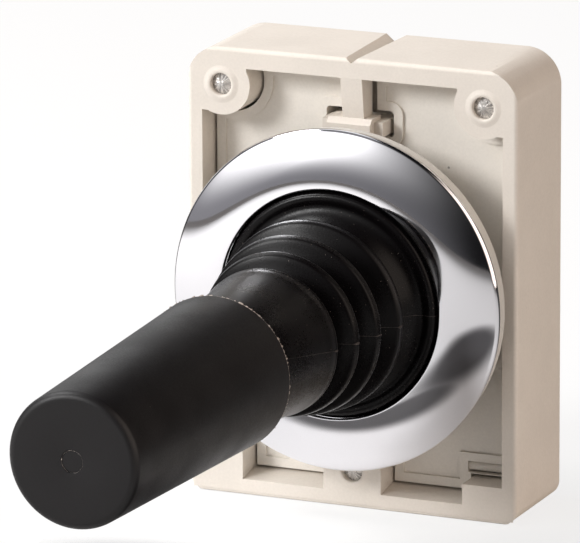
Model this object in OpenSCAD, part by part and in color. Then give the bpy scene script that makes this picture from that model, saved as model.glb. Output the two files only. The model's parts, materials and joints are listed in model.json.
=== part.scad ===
// Industrial joystick for a 30.5 mm panel hole, lever along -Y, millimetres.
// The origin is on the lever's axis, in the plane of the clamp frame's front face.
// Every piece is drawn lying on its back, with the lever up, and on_axis() then turns it forward.

/* [Clamp frame] */
// Width of the frame
frame_w = 45; // [42:0.5:60]
// Height of the frame
frame_h = 58.7; // [57:0.1:75]
// Depth of the frame, front face to rear edge
frame_depth = 15; // [15:0.5:20]
// How far the lever's axis lies below the frame's middle
axis_drop = 0.8; // [0:0.1:1]
// Thickness of the side walls
side_wall = 2; // [1.6:0.1:2.4]
// Height of the top rail
top_rail = 2.6; // [2.2:0.1:3.4]
// Height of the bottom rail
bottom_rail = 2.7; // [2.4:0.1:3.4]
// Radius of the two top corners
corner_r = 3.3; // [2:0.1:4]
// Radius of the two bottom corners
foot_corner_r = 1; // [0.6:0.1:2]
// Radius of the soft front edges
edge_r = 0.6; // [0.3:0.1:1]
// Thickness of the rear wall
web_t = 2.5; // [2:0.1:3]
// Depth of the recess behind the rear wall
rear_recess = 3; // [2.8:0.1:4]
// Depth of the notch in the top side, at the front
notch_front = 0.6; // [0.2:0.1:0.8]
// Depth of the notch in the top side, at the rear
notch_rear = 1.4; // [1:0.1:1.8]
// Opening angle of the notch
notch_angle = 95; // [80:5:130]
// Width of the block in the lower left corner
left_block_w = 5.3; // [4:0.1:6]
// Height of the block in the lower left corner, above the rail
left_block_h = 4.2; // [3:0.1:6]
// Width of the step in the lower right corner
right_step_w = 5.4; // [4:0.1:6]
// Height of the step in the lower right corner, above the rail
right_step_h = 2.1; // [1:0.1:4]
// How much the bottom rail's inner edge falls towards the front
rail_fall = 0.6; // [0.2:0.1:1]

/* [Clamp screws] */
// Radius of a screw's shank
screw_r = 1.4; // [1.2:0.1:1.6]
// Clearance of a screw in its hole
screw_play = 0.06; // [0.03:0.01:0.1]
// Distance of the two top screws from the frame's sides
screw_side = 4.65; // [4.4:0.05:5.2]
// Distance of the screws from the frame's top and bottom
screw_end = 4.85; // [4.6:0.05:5.4]
// Radius of a screw boss
boss_r = 3.95; // [3.6:0.05:4.2]
// Half width of the straight part of a corner boss
boss_flat = 3.5; // [3:0.1:3.6]
// Radius of the soft mouth of a screw hole
mouth_r = 1.95; // [1.8:0.05:2.2]
// How far a screw's point lies behind the front face
point_inset = 0.1; // [0:0.05:0.5]
// Radius of the flat on a screw's cone point
point_r = 0.35; // [0.2:0.05:0.6]
// Radius of a screw's head
head_r = 2.5; // [2.2:0.1:2.6]
// Height of a screw's head
head_h = 1.9; // [1.5:0.1:2.2]
// Gap between a screw's head and the rear wall
head_gap = 0.5; // [0.2:0.1:0.8]
// Width of the slot in a screw's head
slot_w = 0.8; // [0.6:0.1:1]
// Depth of the slot in a screw's head
slot_h = 0.9; // [0.6:0.1:1.2]

/* [Key] */
// Width of the key's stem
stem_w = 2.9; // [2.4:0.1:3.6]
// Depth of the key's stem
stem_t = 3.5; // [2.5:0.1:3.8]
// Length of the stem below the top rail
stem_h = 5.2; // [4.6:0.1:5.6]
// Width of the key's foot at the front
foot_w = 5.9; // [5:0.1:6.6]
// Width of the bar behind the foot
foot_bar_w = 8.2; // [7.4:0.1:9]
// How far the foot sits to the left of the stem's middle
foot_shift = 0.4; // [0:0.1:0.6]
// Height of the key's foot
foot_h = 2.4; // [2:0.1:2.8]
// Height of the bar behind the foot
foot_bar_h = 1.9; // [1.6:0.1:2.2]
// Depth at which the bar starts
foot_bar_at = 1.4; // [1:0.1:2]
// Chamfer along the foot's top edge
foot_chamfer = 0.7; // [0.3:0.1:1]

/* [Carrier plate] */
// Depth of the plate's lip behind the frame's front face
plate_at = 3.9; // [3.6:0.1:4.4]
// Thickness of the plate
plate_t = 2.6; // [2.2:0.1:3]
// Gap between the plate and the frame
plate_gap = 0.35; // [0.2:0.05:0.5]
// Gap between the plate and the key
key_gap = 0.5; // [0.4:0.05:0.7]
// Width of the raised lip along the outline
lip_w = 1.2; // [0.9:0.1:1.4]
// Height of the raised lip
lip_h = 0.35; // [0.2:0.05:0.5]
// Thickness of the skirt behind the plate
skirt_t = 1.1; // [0.8:0.1:1.2]
// Height of the latch window above the plate's lower edge
latch_rise = 0.1; // [0.1:0.1:0.6]
// Height of the latch window in the lower right corner
latch_h = 1.5; // [1.4:0.1:2.4]
// Width of the latch window in the lower right corner
latch_w = 4.6; // [3.5:0.1:5]
// Width of the raised rim round the latch window
latch_rim = 1.1; // [0.8:0.1:1.4]
// Radius of the latch bar in the window
latch_bar_r = 0.6; // [0.4:0.05:0.65]

/* [Neck and collar] */
// Diameter of the panel hole that the neck goes through
panel_hole_d = 30.5; // [30:0.1:31]
// Radial gap between the neck and the panel hole
neck_gap = 0.35; // [0.2:0.05:0.5]
// Thickness of the neck's wall
neck_wall = 2; // [1.6:0.1:2.2]
// Gap between the frame's front face and the collar
panel_gap = 2.1; // [2.1:0.1:6]
// How far the bezel reaches over the collar's edge
bezel_over = 0.5; // [0.2:0.05:0.8]
// Thickness of the collar
collar_t = 3; // [2.6:0.1:3.6]
// Height of the seat that the bezel snaps over
seat_h = 0.8; // [0.6:0.1:1]
// Thickness of the seat's wall
seat_t = 1.2; // [1:0.1:1.6]
// Radial gap between the gasket and the neck
gasket_gap = 1.3; // [0.5:0.1:1.6]
// Width of the gasket
gasket_w = 3; // [2:0.1:3.2]
// Thickness of the gasket
gasket_t = 1.2; // [1:0.1:1.4]
// How far the gasket stands out of the collar
gasket_proud = 0.4; // [0.2:0.1:0.6]
// Width of the retaining nut's ring
nut_w = 3.2; // [2.8:0.1:3.6]
// Height of the retaining nut
nut_h = 2.6; // [2:0.1:2.8]
// Number of spanner slots in the retaining nut
nut_slots = 6; // [4:1:8]
// Width of a spanner slot
nut_slot_w = 2; // [1.5:0.1:3]
// Depth of a spanner slot
nut_slot_d = 1.2; // [0.8:0.1:1.6]
// Width of the neck's wall behind the circlip
neck_lip = 0.2; // [0.2:0.1:0.6]
// Clearance of pieces that sit in one another
seat_play = 0.05; // [0.02:0.01:0.1]

/* [Bezel ring] */
// How far the bezel's edge lies inside the frame's sides
bezel_inset = 0.3; // [0.1:0.1:1]
// Height of the bezel's outer edge
rim_h = 0.3; // [0.2:0.05:0.6]
// How far the bezel's opening stands out from the neck's bore
open_step = 1.9; // [1.7:0.05:2.1]
// Height of the opening's edge above the collar
open_rise = 2.37; // [2.2:0.01:2.6]
// How far the dome rises over the line between its two edges
dome_rise = 0.75; // [0.6:0.05:1]
// Thickness of the bezel's wall
bezel_t = 1; // [0.8:0.05:1.1]
// Gap between the bezel and the boot's foot bead
bead_gap = 0.15; // [0.05:0.05:0.2]

/* [Bellows] */
// Number of lips
lips = 4; // [3:1:5]
// Height of the first lip above the collar
first_lip = 8.2; // [7.8:0.1:8.6]
// Height of the last lip above the collar
last_lip = 21.9; // [20:0.1:23]
// Radius of the first lip
first_lip_r = 12.3; // [11.5:0.1:12.8]
// Radius of the last lip
last_lip_r = 9.6; // [9:0.1:10.2]
// How the lips draw together towards the foot, 1 for evenly spaced
lip_spread = 0.9; // [0.8:0.05:1.2]
// How sharp the lips are, 1 for a plain wave
lip_sharp = 1.3; // [1:0.05:1.6]
// Depth of the folds between the lips
fold_h = 2.1; // [1.5:0.1:2.4]
// Distance of the first fold below the first lip
first_fold = 2.3; // [2:0.1:2.6]
// Thickness of the rubber, measured across the axis
rubber_t = 1.1; // [0.9:0.1:1.3]
// Radial gap between the boot's foot and the gate plate
foot_gap = 0.4; // [0.3:0.05:0.5]
// Distance of the foot's ridge inside the bezel's opening
ridge_gap = 1; // [0.9:0.05:1.1]
// Height of the ridge above the collar
ridge_h = 2.5; // [2:0.1:3]
// Half width of the ridge
ridge_w = 0.7; // [0.5:0.05:0.8]
// How far the foot bead reaches under the bezel
bead_w = 0.6; // [0.4:0.05:0.7]
// Height of the foot bead
bead_h = 0.7; // [0.5:0.05:0.8]
// Radius of the top collar just above the last lip
cuff_low_r = 9.2; // [8.8:0.1:9.6]
// Height above the last lip at which the top collar starts
cuff_rise = 3; // [2:0.1:4]
// Radius of the top collar at the grip
cuff_top_r = 8.1; // [7.6:0.1:8.4]
// Chamfer at the end of the top collar
cuff_chamfer = 0.6; // [0.3:0.1:1]
// Length of the closed part of the top collar
cuff_l = 7; // [5:0.5:8]
// Gap between the top collar's end and the bottom of the grip's recess
cuff_gap = 0.3; // [0.1:0.1:0.6]

/* [Lever and pivot] */
// Tilt of the lever each way
tilt = 15; // [10:1:15]
// Radius of the lever's shaft
shaft_r = 3; // [2.6:0.1:3.2]
// Radius of the shaft's threaded ends
stud_r = 2.5; // [2:0.1:2.5]
// Radius of the pivot pins
pin_r = 1.25; // [1:0.05:1.4]
// Running clearance of pins and plungers
running = 0.05; // [0.02:0.01:0.08]
// Radius of the lever's hub
hub_r = 5; // [4.6:0.1:5.2]
// Height of the lever's hub
hub_h = 5; // [4:0.1:5]
// How far the hub's corners are rounded off
hub_edge = 0.25; // [0.1:0.05:0.4]
// Radial gap between the hub and the gimbal ring
hub_gap = 1.6; // [1.4:0.1:1.8]
// Height of the gimbal ring
ring_h = 4.4; // [3.6:0.1:4.4]
// Radial gap between the gimbal ring and the pivot sleeve
ring_gap = 1.2; // [1:0.1:1.4]
// How far the cross pin's ends lie inside the ring
pin_inset = 0.3; // [0.1:0.1:0.6]
// How deep the gate plate's seat is cut into the collar
gate_sink = 0.3; // [0.2:0.1:0.6]
// Thickness of the gate plate
gate_t = 1.2; // [1:0.1:1.4]
// Distance from the pivot to the gate plate
gate_at = 4.8; // [4.7:0.1:5]
// Play of the shaft in the gate at full tilt
gate_play = 0.25; // [0.2:0.05:0.4]
// Distance from the pivot to the actuator disc's front
disc_at = 4.75; // [4.7:0.05:4.9]
// Radial gap between the actuator disc and the pivot sleeve
disc_gap = 2.55; // [2.5:0.05:3]
// Thickness of the actuator disc
disc_t = 1.75; // [1.5:0.05:1.8]
// Distance from the pivot to the boss on the disc
disc_boss_at = 3.2; // [2.8:0.1:3.4]
// Radius of the boss on the disc
disc_boss_r = 4.4; // [4.2:0.1:4.8]
// Radius of the shaft's tail, which the disc sits on
tail_r = 2; // [1.5:0.1:2.2]
// Radius of the disc's nut, across its corners
disc_nut_r = 3.6; // [3:0.1:3.7]
// Height of the disc's nut
disc_nut_h = 1.2; // [1:0.1:1.4]
// How deep the nut lies in the disc's rear face
disc_nut_inset = 0.2; // [0.1:0.1:0.4]

/* [Plungers] */
// Distance of the plungers from the axis
plunger_at = 6; // [5.6:0.1:6.2]
// Radius of a plunger's stem
plunger_r = 1.3; // [1:0.1:1.4]
// Radius of a plunger's head
plunger_head_r = 2.1; // [1.8:0.05:2.1]
// Height of a plunger's head
plunger_head_h = 1.5; // [1.4:0.1:1.7]
// Radius of the dome on a plunger's head
plunger_dome_r = 2.6; // [2.4:0.1:3]
// Free travel between the disc and a plunger
lost_motion = 0.8; // [0.8:0.05:1]
// How far a plunger stands out of the guide
plunger_out = 0.8; // [0.5:0.1:1.2]
// Distance from the pivot to the guide
guide_at = 9.2; // [9.2:0.1:9.6]
// Thickness of the guide
guide_t = 4.9; // [4.7:0.1:5]
// Depth of the spring pockets in the guide
pocket_h = 3.2; // [2.8:0.1:3.4]
// Clearance of a plunger's head in its pocket
pocket_play = 0.3; // [0.25:0.05:0.4]
// Thickness of the spring wire
wire_d = 0.36; // [0.3:0.02:0.4]
// Turns of a plunger spring
spring_turns = 4; // [3:0.5:5]
// Thickness of the circlip behind the guide
circlip_t = 0.7; // [0.5:0.1:0.8]
// How far the circlip stands into the neck's bore
circlip_w = 1.2; // [0.8:0.1:1.6]
// Opening between the circlip's ends, in degrees
circlip_open = 40; // [20:5:60]
// Depth of the circlip's groove
groove = 0.6; // [0.4:0.1:0.8]

/* [Grip] */
// Distance of the grip's base from the frame's front face
grip_at = 42.3; // [40:0.1:50]
// Length of the grip
grip_l = 41.3; // [35:0.1:60]
// Radius of the grip's base
grip_base_r = 9.75; // [9.4:0.05:11]
// Radius of the grip's free end
grip_end_r = 8.35; // [8:0.05:9.5]
// Radius of the free end's edge
grip_edge_r = 1; // [0.6:0.1:1.5]
// Wall round the recess in the grip's base
grip_wall = 1.1; // [0.8:0.1:1.2]
// Depth of the recess in the grip's base
grip_recess = 2; // [1.5:0.1:3]
// Radius of the moulding mark on the free end
mark_r = 1.35; // [1:0.05:1.6]
// Depth of the moulding mark
mark_h = 0.15; // [0.1:0.05:0.3]
// Radius of the thread insert
insert_r = 4; // [3.6:0.1:4.5]
// Length of the thread insert
insert_l = 20; // [14:1:24]
// Distance of the shaft's end from the end of the thread insert
insert_gap = 1; // [0.5:0.5:3]
// Radius of the spacer under the grip
spacer_r = 5; // [4.5:0.1:5.5]
// How far the spacer stands out of the boot's top collar
spacer_out = 2; // [1:0.5:4]

/* [Hidden] */
$fn = 48;
eps = 0.01;
beige = "#e4dcd3";
pale_grey = "#c9c6c1";
chrome = "#d6d9dd";
steel = "#9a9ca0";
brass = "#c9a24e";
rubber = "#2a2627";
black = "#29272a";
dark = "#3c3a3c";
white = "#e9e7e2";

// Levels along the lever's axis, measured forward from the frame's front face
web_rear = -(frame_depth - rear_recess);
web_front = web_rear + web_t;
collar_rear = panel_gap;
collar_top = collar_rear + collar_t;
gasket_top = collar_rear + gasket_t - gasket_proud;
gate_low = collar_top - gate_sink;
pivot = gate_low - gate_at;
guide_top = pivot - guide_at;
guide_low = guide_top - guide_t;
neck_low = guide_low - circlip_t - neck_lip;
disc_low = pivot - disc_at - disc_t;
plunger_top = disc_low - lost_motion;
plunger_neck = plunger_top - plunger_head_h;
plunger_tip = guide_low - plunger_out;
pocket_low = guide_top - pocket_h;
grip_end = grip_at + grip_l;
spacer_top = grip_at + grip_recess;

// Places of the screws, measured from the frame's middle
screw_x = frame_w / 2 - screw_side;
screw_y = frame_h / 2 - screw_end;

// Radii round the lever's axis
neck_r = panel_hole_d / 2 - neck_gap;
neck_in_r = neck_r - neck_wall;
bezel_r = frame_w / 2 - bezel_inset;
collar_r = bezel_r - bezel_over;
gasket_in_r = neck_r + gasket_gap;
gasket_r = gasket_in_r + gasket_w;
bezel_open_r = neck_in_r + open_step;
ridge_r = bezel_open_r - ridge_gap;
bead_r = bezel_open_r + bead_w;
foot_in_r = neck_in_r + foot_gap;

// The gimbal ring and the pivot sleeve share the space between the hub and the neck
ring_in_r = hub_r + hub_gap;
ring_w = (neck_in_r - ring_in_r - ring_gap) / 2;
ring_out_r = ring_in_r + ring_w;
sleeve_bore_r = ring_out_r + ring_gap;
disc_r = sleeve_bore_r - disc_gap;

// The dome is an arc over the line from the opening's edge to the bezel's outer edge
dome_w = bezel_r - bezel_open_r;
dome_fall = open_rise - rim_h;
dome_line = norm([dome_w, dome_fall]);
dome_r = (pow(dome_line / 2, 2) + pow(dome_rise, 2)) / (2 * dome_rise);
dome_at = bezel_open_r + dome_w / 2 - (dome_r - dome_rise) * dome_fall / dome_line;
dome_h = collar_top + (open_rise + rim_h) / 2 - (dome_r - dome_rise) * dome_w / dome_line;
seat_reach = sqrt(pow(dome_r - bezel_t, 2) - pow(collar_top + seat_h - dome_h, 2));
seat_out_r = dome_at + seat_reach - seat_play;
gate_half = (gate_at + gate_t) * tan(tilt) + shaft_r / cos(tilt) + gate_play;
pocket_r = plunger_head_r + pocket_play;
coil_r = plunger_head_r - wire_d / 2;
recess_r = grip_base_r - grip_wall - grip_recess * (grip_base_r - grip_end_r) / grip_l;

// Half sizes of the frame's opening
open_x = frame_w / 2 - side_wall;
open_top = frame_h / 2 - top_rail;
open_bottom = -frame_h / 2 + bottom_rail;
foot_top = open_top - stem_h;

// Turns a piece drawn with the lever up so that the lever points along -Y
module on_axis() {
    rotate([90, 0, 0]) children();
}

// Slab of a front-view outline between two levels
module slab(low, high) {
    translate([0, 0, low]) linear_extrude(high - low) children();
}

module tube(r_out, r_in, low, high) {
    rotate_extrude($fn = 96) translate([r_in, low]) square([r_out - r_in, high - low]);
}

module disc(r, low, high) {
    translate([0, 0, low]) cylinder(r = r, h = high - low);
}

// Rectangle with its own radius for the top and the bottom corners
module rounded_plate(w, h, r_top, r_low) {
    translate([-w / 2, -h / 2 + r_low]) square([w, h - r_top - r_low]);
    translate([-w / 2 + r_top, 0]) square([w - 2 * r_top, h / 2]);
    translate([-w / 2 + r_low, -h / 2]) square([w - 2 * r_low, h / 2]);
    for (side = [-1, 1]) {
        translate([side * (w / 2 - r_top), h / 2 - r_top]) circle(r_top);
        translate([side * (w / 2 - r_low), -h / 2 + r_low]) circle(r_low);
    }
}

// Bosses, block and step that stand in the frame's opening, grown by a gap
module lands(gap) {
    for (side = [-1, 1]) translate([side * screw_x, screw_y]) {
        circle(boss_r + gap);
        translate([-boss_flat - gap, 0]) square([2 * (boss_flat + gap), frame_h / 2]);
        translate([side > 0 ? 0 : -frame_w / 2, -boss_flat - gap]) square([frame_w / 2, frame_h / 2]);
    }
    translate([0, -screw_y]) circle(boss_r + gap);
    translate([-boss_r - gap, -frame_h / 2]) square([2 * (boss_r + gap), screw_end]);
    translate([-frame_w / 2, -frame_h / 2])
        square([side_wall + left_block_w + gap, bottom_rail + left_block_h + gap]);
    translate([open_x - right_step_w - gap, -frame_h / 2])
        square([side_wall + right_step_w + gap, bottom_rail + right_step_h + gap]);
}

// The frame's opening as seen from the front, shrunk by a gap
module opening(gap) {
    difference() {
        translate([-open_x + gap, open_bottom + gap])
            square([2 * (open_x - gap), open_top - open_bottom - 2 * gap]);
        lands(gap);
    }
}

// T-shaped slot round the key
module key_slot(gap) {
    foot_low = foot_top - foot_h;
    offset(r = gap, $fn = 32) {
        translate([-stem_w / 2, foot_low]) square([stem_w, frame_h / 2 - foot_low]);
        translate([-foot_bar_w / 2 - foot_shift, foot_low]) square([foot_bar_w, foot_h]);
    }
}

// Block of the frame with soft front edges, from its front, side and top views
module soft_block() {
    intersection() {
        slab(-frame_depth, 0) rounded_plate(frame_w, frame_h, corner_r, foot_corner_r);
        rotate([90, 0, 90]) translate([0, 0, -frame_w / 2]) linear_extrude(frame_w)
            translate([0, -frame_depth / 2]) rounded_plate(frame_h, frame_depth, edge_r, eps);
        rotate([90, 0, 0]) translate([0, 0, -frame_h / 2]) linear_extrude(frame_h)
            translate([0, -frame_depth / 2]) rounded_plate(frame_w, frame_depth, edge_r, eps);
    }
}

module screw_places() {
    for (side = [-1, 1]) translate([side * screw_x, screw_y, 0]) children();
    translate([0, -screw_y, 0]) children();
}

// V notch in the top side, cut past both faces of the frame
module notch() {
    fall = atan((notch_rear - notch_front) / frame_depth);
    tall = notch_rear + frame_depth;
    wide = tall * tan(notch_angle / 2);
    translate([0, frame_h / 2 - notch_front, 0]) rotate([fall, 0, 0])
        translate([0, 0, -frame_depth - web_t]) linear_extrude(frame_depth + 2 * web_t)
        polygon([[0, 0], [wide, tall], [-wide, tall]]);
}

// The stem's front slopes back from the rail to the foot's chamfer
module key() {
    rotate([90, 0, 90]) translate([0, 0, -stem_w / 2]) linear_extrude(stem_w) polygon([
        [open_top + eps, 0], [open_top + eps, -stem_t], [foot_top - foot_chamfer, -stem_t],
        [foot_top - foot_chamfer, -foot_chamfer], [foot_top, -foot_chamfer]
    ]);
    translate([-foot_shift, 0, 0]) {
        rotate([90, 0, 90]) translate([0, 0, -foot_w / 2]) linear_extrude(foot_w) polygon([
            [foot_top, -stem_t], [foot_top, -foot_chamfer], [foot_top - foot_chamfer, 0],
            [foot_top - foot_h, 0], [foot_top - foot_h, -stem_t]
        ]);
        translate([-foot_bar_w / 2, foot_top - foot_h, -plate_at - plate_t])
            cube([foot_bar_w, foot_bar_h, plate_at + plate_t - foot_bar_at]);
    }
}

// Slope on the bottom rail's inner edge, between the bosses
module rail_slopes() {
    for (span = [[-open_x + left_block_w, -boss_r], [boss_r, open_x - right_step_w]])
        translate([span[0], 0, 0]) rotate([90, 0, 90]) linear_extrude(span[1] - span[0]) polygon([
            [open_bottom + eps, -plate_at], [open_bottom + eps, eps], [open_bottom - rail_fall, eps]
        ]);
}

module clamp_frame() {
    color(beige) on_axis() translate([0, axis_drop, 0]) {
        difference() {
            soft_block();
            slab(web_front, eps) opening(0);
            slab(-frame_depth - eps, web_rear)
                rounded_plate(2 * open_x, frame_h - 2 * side_wall, corner_r - side_wall, eps);
            rail_slopes();
            notch();
            translate([0, -axis_drop, 0]) disc(neck_r + seat_play, web_rear - eps, web_front + eps, $fn = 96);
            screw_places() {
                translate([0, 0, web_rear - eps]) cylinder(r = screw_r + screw_play, h = frame_depth);
                translate([0, 0, -mouth_r + screw_r])
                    cylinder(r1 = screw_r, r2 = mouth_r + eps, h = mouth_r - screw_r + eps);
            }
        }
        key();
    }
}

// Outline of the carrier plate, inset from the frame and the key
module plate_outline(inset) {
    difference() {
        opening(plate_gap + inset);
        key_slot(key_gap + inset);
    }
}

module carrier_plate() {
    field = -plate_at - lip_h;
    latch_x = open_x - plate_gap - lip_w - latch_w;
    latch_y = open_bottom + right_step_h + plate_gap + latch_rise;
    bore_r = neck_r + seat_play;
    color(beige) on_axis() translate([0, axis_drop, 0]) {
        difference() {
            slab(-plate_at - plate_t, -plate_at) plate_outline(0);
            slab(field, 0) difference() {
                plate_outline(lip_w);
                translate([latch_x - latch_rim, open_bottom])
                    square([open_x - latch_x + latch_rim, latch_y - open_bottom + latch_h + latch_rim]);
            }
            translate([0, -axis_drop, 0]) disc(bore_r, -frame_depth, 0, $fn = 96);
            translate([latch_x, latch_y, -frame_depth]) cube([latch_w, latch_h, frame_depth]);
        }
        slab(web_front, -plate_at - plate_t + eps) difference() {
            plate_outline(0);
            plate_outline(skirt_t);
        }
        translate([0, -axis_drop, 0]) tube(bore_r + skirt_t, bore_r, web_front, field);
        translate([latch_x - eps, latch_y + latch_h / 2, -plate_at - latch_bar_r - lip_h])
            rotate([0, 90, 0]) cylinder(r = latch_bar_r, h = latch_w + 2 * eps, $fn = 32);
    }
}

module clamp_screw() {
    cone_h = screw_r - point_r;
    head_low = web_rear - head_gap - head_h;
    difference() {
        rotate_extrude() polygon([
            [0, head_low], [head_r, head_low], [head_r, head_low + head_h], [screw_r, head_low + head_h],
            [screw_r, -point_inset - cone_h], [point_r, -point_inset], [0, -point_inset]
        ]);
        translate([-head_r, -slot_w / 2, head_low - eps]) cube([2 * head_r, slot_w, slot_h]);
    }
}

module clamp_screws() {
    color(steel) on_axis() translate([0, axis_drop, 0]) screw_places() clamp_screw();
}

module neck_body() {
    color(pale_grey) on_axis() difference() {
        union() {
            tube(collar_r, neck_in_r, collar_rear, collar_top);
            tube(neck_r, neck_in_r, neck_low, collar_rear + eps);
            tube(seat_out_r, seat_out_r - seat_t, collar_top - eps, collar_top + seat_h);
            tube(neck_in_r + eps, sleeve_bore_r, gate_low - gate_t, gate_low);
        }
        tube(gasket_r + seat_play, gasket_in_r - seat_play, collar_rear - eps, gasket_top);
        disc(neck_in_r + seat_play, gate_low, collar_top + eps, $fn = 96);
        disc(neck_in_r, neck_low - eps, gate_low - gate_t, $fn = 96);
        tube(neck_in_r + groove, neck_in_r - eps, guide_low - circlip_t, guide_low);
    }
}

module retaining_nut() {
    nut_r = neck_r + nut_w;
    color(pale_grey) on_axis() difference() {
        tube(nut_r, neck_r + seat_play, web_rear - nut_h, web_rear);
        for (turn = [0 : 360 / nut_slots : 359]) rotate([0, 0, turn])
            translate([nut_r - nut_slot_d, -nut_slot_w / 2, web_rear - nut_h - eps])
            cube([2 * nut_slot_d, nut_slot_w, nut_h / 2]);
    }
}

module panel_gasket() {
    color(dark) on_axis() tube(gasket_r, gasket_in_r, collar_rear - gasket_proud, gasket_top);
}

module bezel_ring() {
    color(chrome) on_axis() rotate_extrude($fn = 96) intersection() {
        difference() {
            translate([dome_at, dome_h]) circle(dome_r, $fn = 96);
            translate([dome_at, dome_h]) circle(dome_r - bezel_t, $fn = 96);
            translate([0, collar_top - eps]) square([bead_r + seat_play, bead_h + bead_gap]);
        }
        translate([bezel_open_r, collar_top]) square([dome_w, dome_r]);
    }
}

// Height and radius of lip number i, counted from the foot
function lip_share(i) = pow(i / (lips - 1), lip_spread);
function lip_h_at(i) = collar_top + first_lip + (last_lip - first_lip) * lip_share(i);
function lip_r_at(i) = first_lip_r + (last_lip_r - first_lip_r) * lip_share(i);
// Height and radius of the fold below lip number i
function fold_h_at(i) = i == 0 ? lip_h_at(0) - first_fold : (lip_h_at(i - 1) + lip_h_at(i)) / 2;
function fold_r_at(i) = (i == 0 ? lip_r_at(0) : (lip_r_at(i - 1) + lip_r_at(i)) / 2) - fold_h;
// Point a share s of the way up from fold i to lip i, and from lip i to the fold above it
function rise(i, s) = [
    fold_r_at(i) + (lip_r_at(i) - fold_r_at(i)) * pow((1 - cos(180 * s)) / 2, lip_sharp),
    fold_h_at(i) + (lip_h_at(i) - fold_h_at(i)) * s
];
function fall(i, s) = [
    fold_r_at(i + 1) + (lip_r_at(i) - fold_r_at(i + 1)) * pow((1 + cos(180 * s)) / 2, lip_sharp),
    lip_h_at(i) + (fold_h_at(i + 1) - lip_h_at(i)) * s
];
steps = 5;
ridge_top = collar_top + ridge_h;
ridge = [
    [ridge_r + ridge_w, collar_top + bead_h], [ridge_r + ridge_w, ridge_top - ridge_w],
    [ridge_r, ridge_top], [ridge_r - ridge_w, ridge_top - ridge_w / 7]
];
folds = [
    for (i = [0 : lips - 1]) for (k = [0 : 2 * steps - (i == lips - 1 ? steps : 1)])
        k <= steps ? rise(i, k / steps) : fall(i, (k - steps) / steps)
];
skin = concat(ridge, folds, [[cuff_low_r, lip_h_at(lips - 1) + cuff_rise]]);

module bellows() {
    cuff_top = spacer_top - cuff_gap;
    cuff_low = cuff_top - cuff_l;
    bore = spacer_r + seat_play;
    inside = [for (i = [len(skin) - 1 : -1 : 2]) [skin[i][0] - rubber_t, skin[i][1]]];
    color(rubber) on_axis() rotate_extrude($fn = 96) polygon(concat(
        [[foot_in_r, collar_top], [bead_r, collar_top], [bead_r, collar_top + bead_h]],
        skin,
        [[cuff_top_r, cuff_top - cuff_chamfer], [cuff_top_r - cuff_chamfer, cuff_top]],
        [[bore, cuff_top], [bore, cuff_low]],
        inside,
        [[foot_in_r, collar_top + rubber_t]]
    ));
}

module gate_plate() {
    color(steel) on_axis() difference() {
        disc(neck_in_r, gate_low, gate_low + gate_t, $fn = 96);
        translate([-gate_half, -gate_half, gate_low - eps])
            cube([2 * gate_half, 2 * gate_half, gate_t + 2 * eps]);
    }
}

module cross_bore(r, half) {
    rotate([0, 90, 0]) translate([0, 0, -half]) cylinder(r = r, h = 2 * half);
}

module pivot_sleeve() {
    color(white) on_axis() difference() {
        tube(neck_in_r - seat_play, sleeve_bore_r, guide_top, gate_low - gate_t);
        translate([0, 0, pivot]) cross_bore(pin_r + running, neck_r);
    }
}

module plunger_places() {
    for (turn = [0, 90, 180, 270]) rotate([0, 0, turn]) translate([plunger_at, 0, 0]) children();
}

module plunger_guide() {
    color(white) on_axis() difference() {
        disc(neck_in_r - seat_play, guide_low, guide_top, $fn = 96);
        plunger_places() {
            disc(pocket_r, pocket_low, guide_top + eps);
            disc(plunger_r + running, guide_low - eps, pocket_low + eps);
        }
    }
}

module rear_circlip() {
    color(steel) on_axis() rotate([0, 0, 90 + circlip_open / 2])
        rotate_extrude(angle = 360 - circlip_open, $fn = 96)
        translate([neck_in_r - circlip_w, guide_low - circlip_t + seat_play / 2])
        square([circlip_w + groove - seat_play, circlip_t - seat_play]);
}

module gimbal_ring() {
    color(steel) on_axis() difference() {
        tube(ring_out_r, ring_in_r, pivot - ring_h / 2, pivot + ring_h / 2);
        translate([0, 0, pivot]) cross_bore(pin_r, ring_out_r + 1);
        translate([0, 0, pivot]) rotate([0, 0, 90]) cross_bore(pin_r + running, ring_out_r + 1);
    }
}

module trunnion_pins() {
    pin_l = neck_in_r - 2 * seat_play - ring_in_r;
    color(steel) on_axis() translate([0, 0, pivot]) for (side = [0, 180]) rotate([0, 0, side])
        translate([ring_in_r, 0, 0]) rotate([0, 90, 0]) cylinder(r = pin_r, h = pin_l);
}

module lever_hub() {
    color(steel) on_axis() translate([0, 0, pivot]) difference() {
        intersection() {
            disc(hub_r, -hub_h / 2, hub_h / 2);
            sphere(r = norm([hub_r, hub_h / 2]) - hub_edge);
        }
        disc(shaft_r, -hub_h, hub_h);
        rotate([0, 0, 90]) cross_bore(pin_r, hub_r + 1);
    }
}

module cross_pin() {
    color(steel) on_axis() translate([0, 0, pivot]) rotate([0, 0, 90])
        cross_bore(pin_r, ring_out_r - pin_inset);
}

module lever_shaft() {
    color(steel) on_axis() difference() {
        union() {
            disc(shaft_r, pivot - disc_boss_at, spacer_top);
            disc(stud_r, spacer_top - eps, spacer_top + insert_l - insert_gap);
            disc(tail_r, disc_low + disc_nut_inset, pivot);
        }
        translate([0, 0, pivot]) rotate([0, 0, 90]) cross_bore(pin_r, shaft_r + 1);
    }
}

module actuator_disc() {
    color(white) on_axis() difference() {
        union() {
            disc(disc_r, disc_low, disc_low + disc_t);
            disc(disc_boss_r, disc_low, pivot - disc_boss_at);
        }
        disc(tail_r, disc_low - eps, pivot);
        disc(disc_nut_r + seat_play, disc_low - eps, disc_low + disc_nut_inset + disc_nut_h);
    }
}

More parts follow.
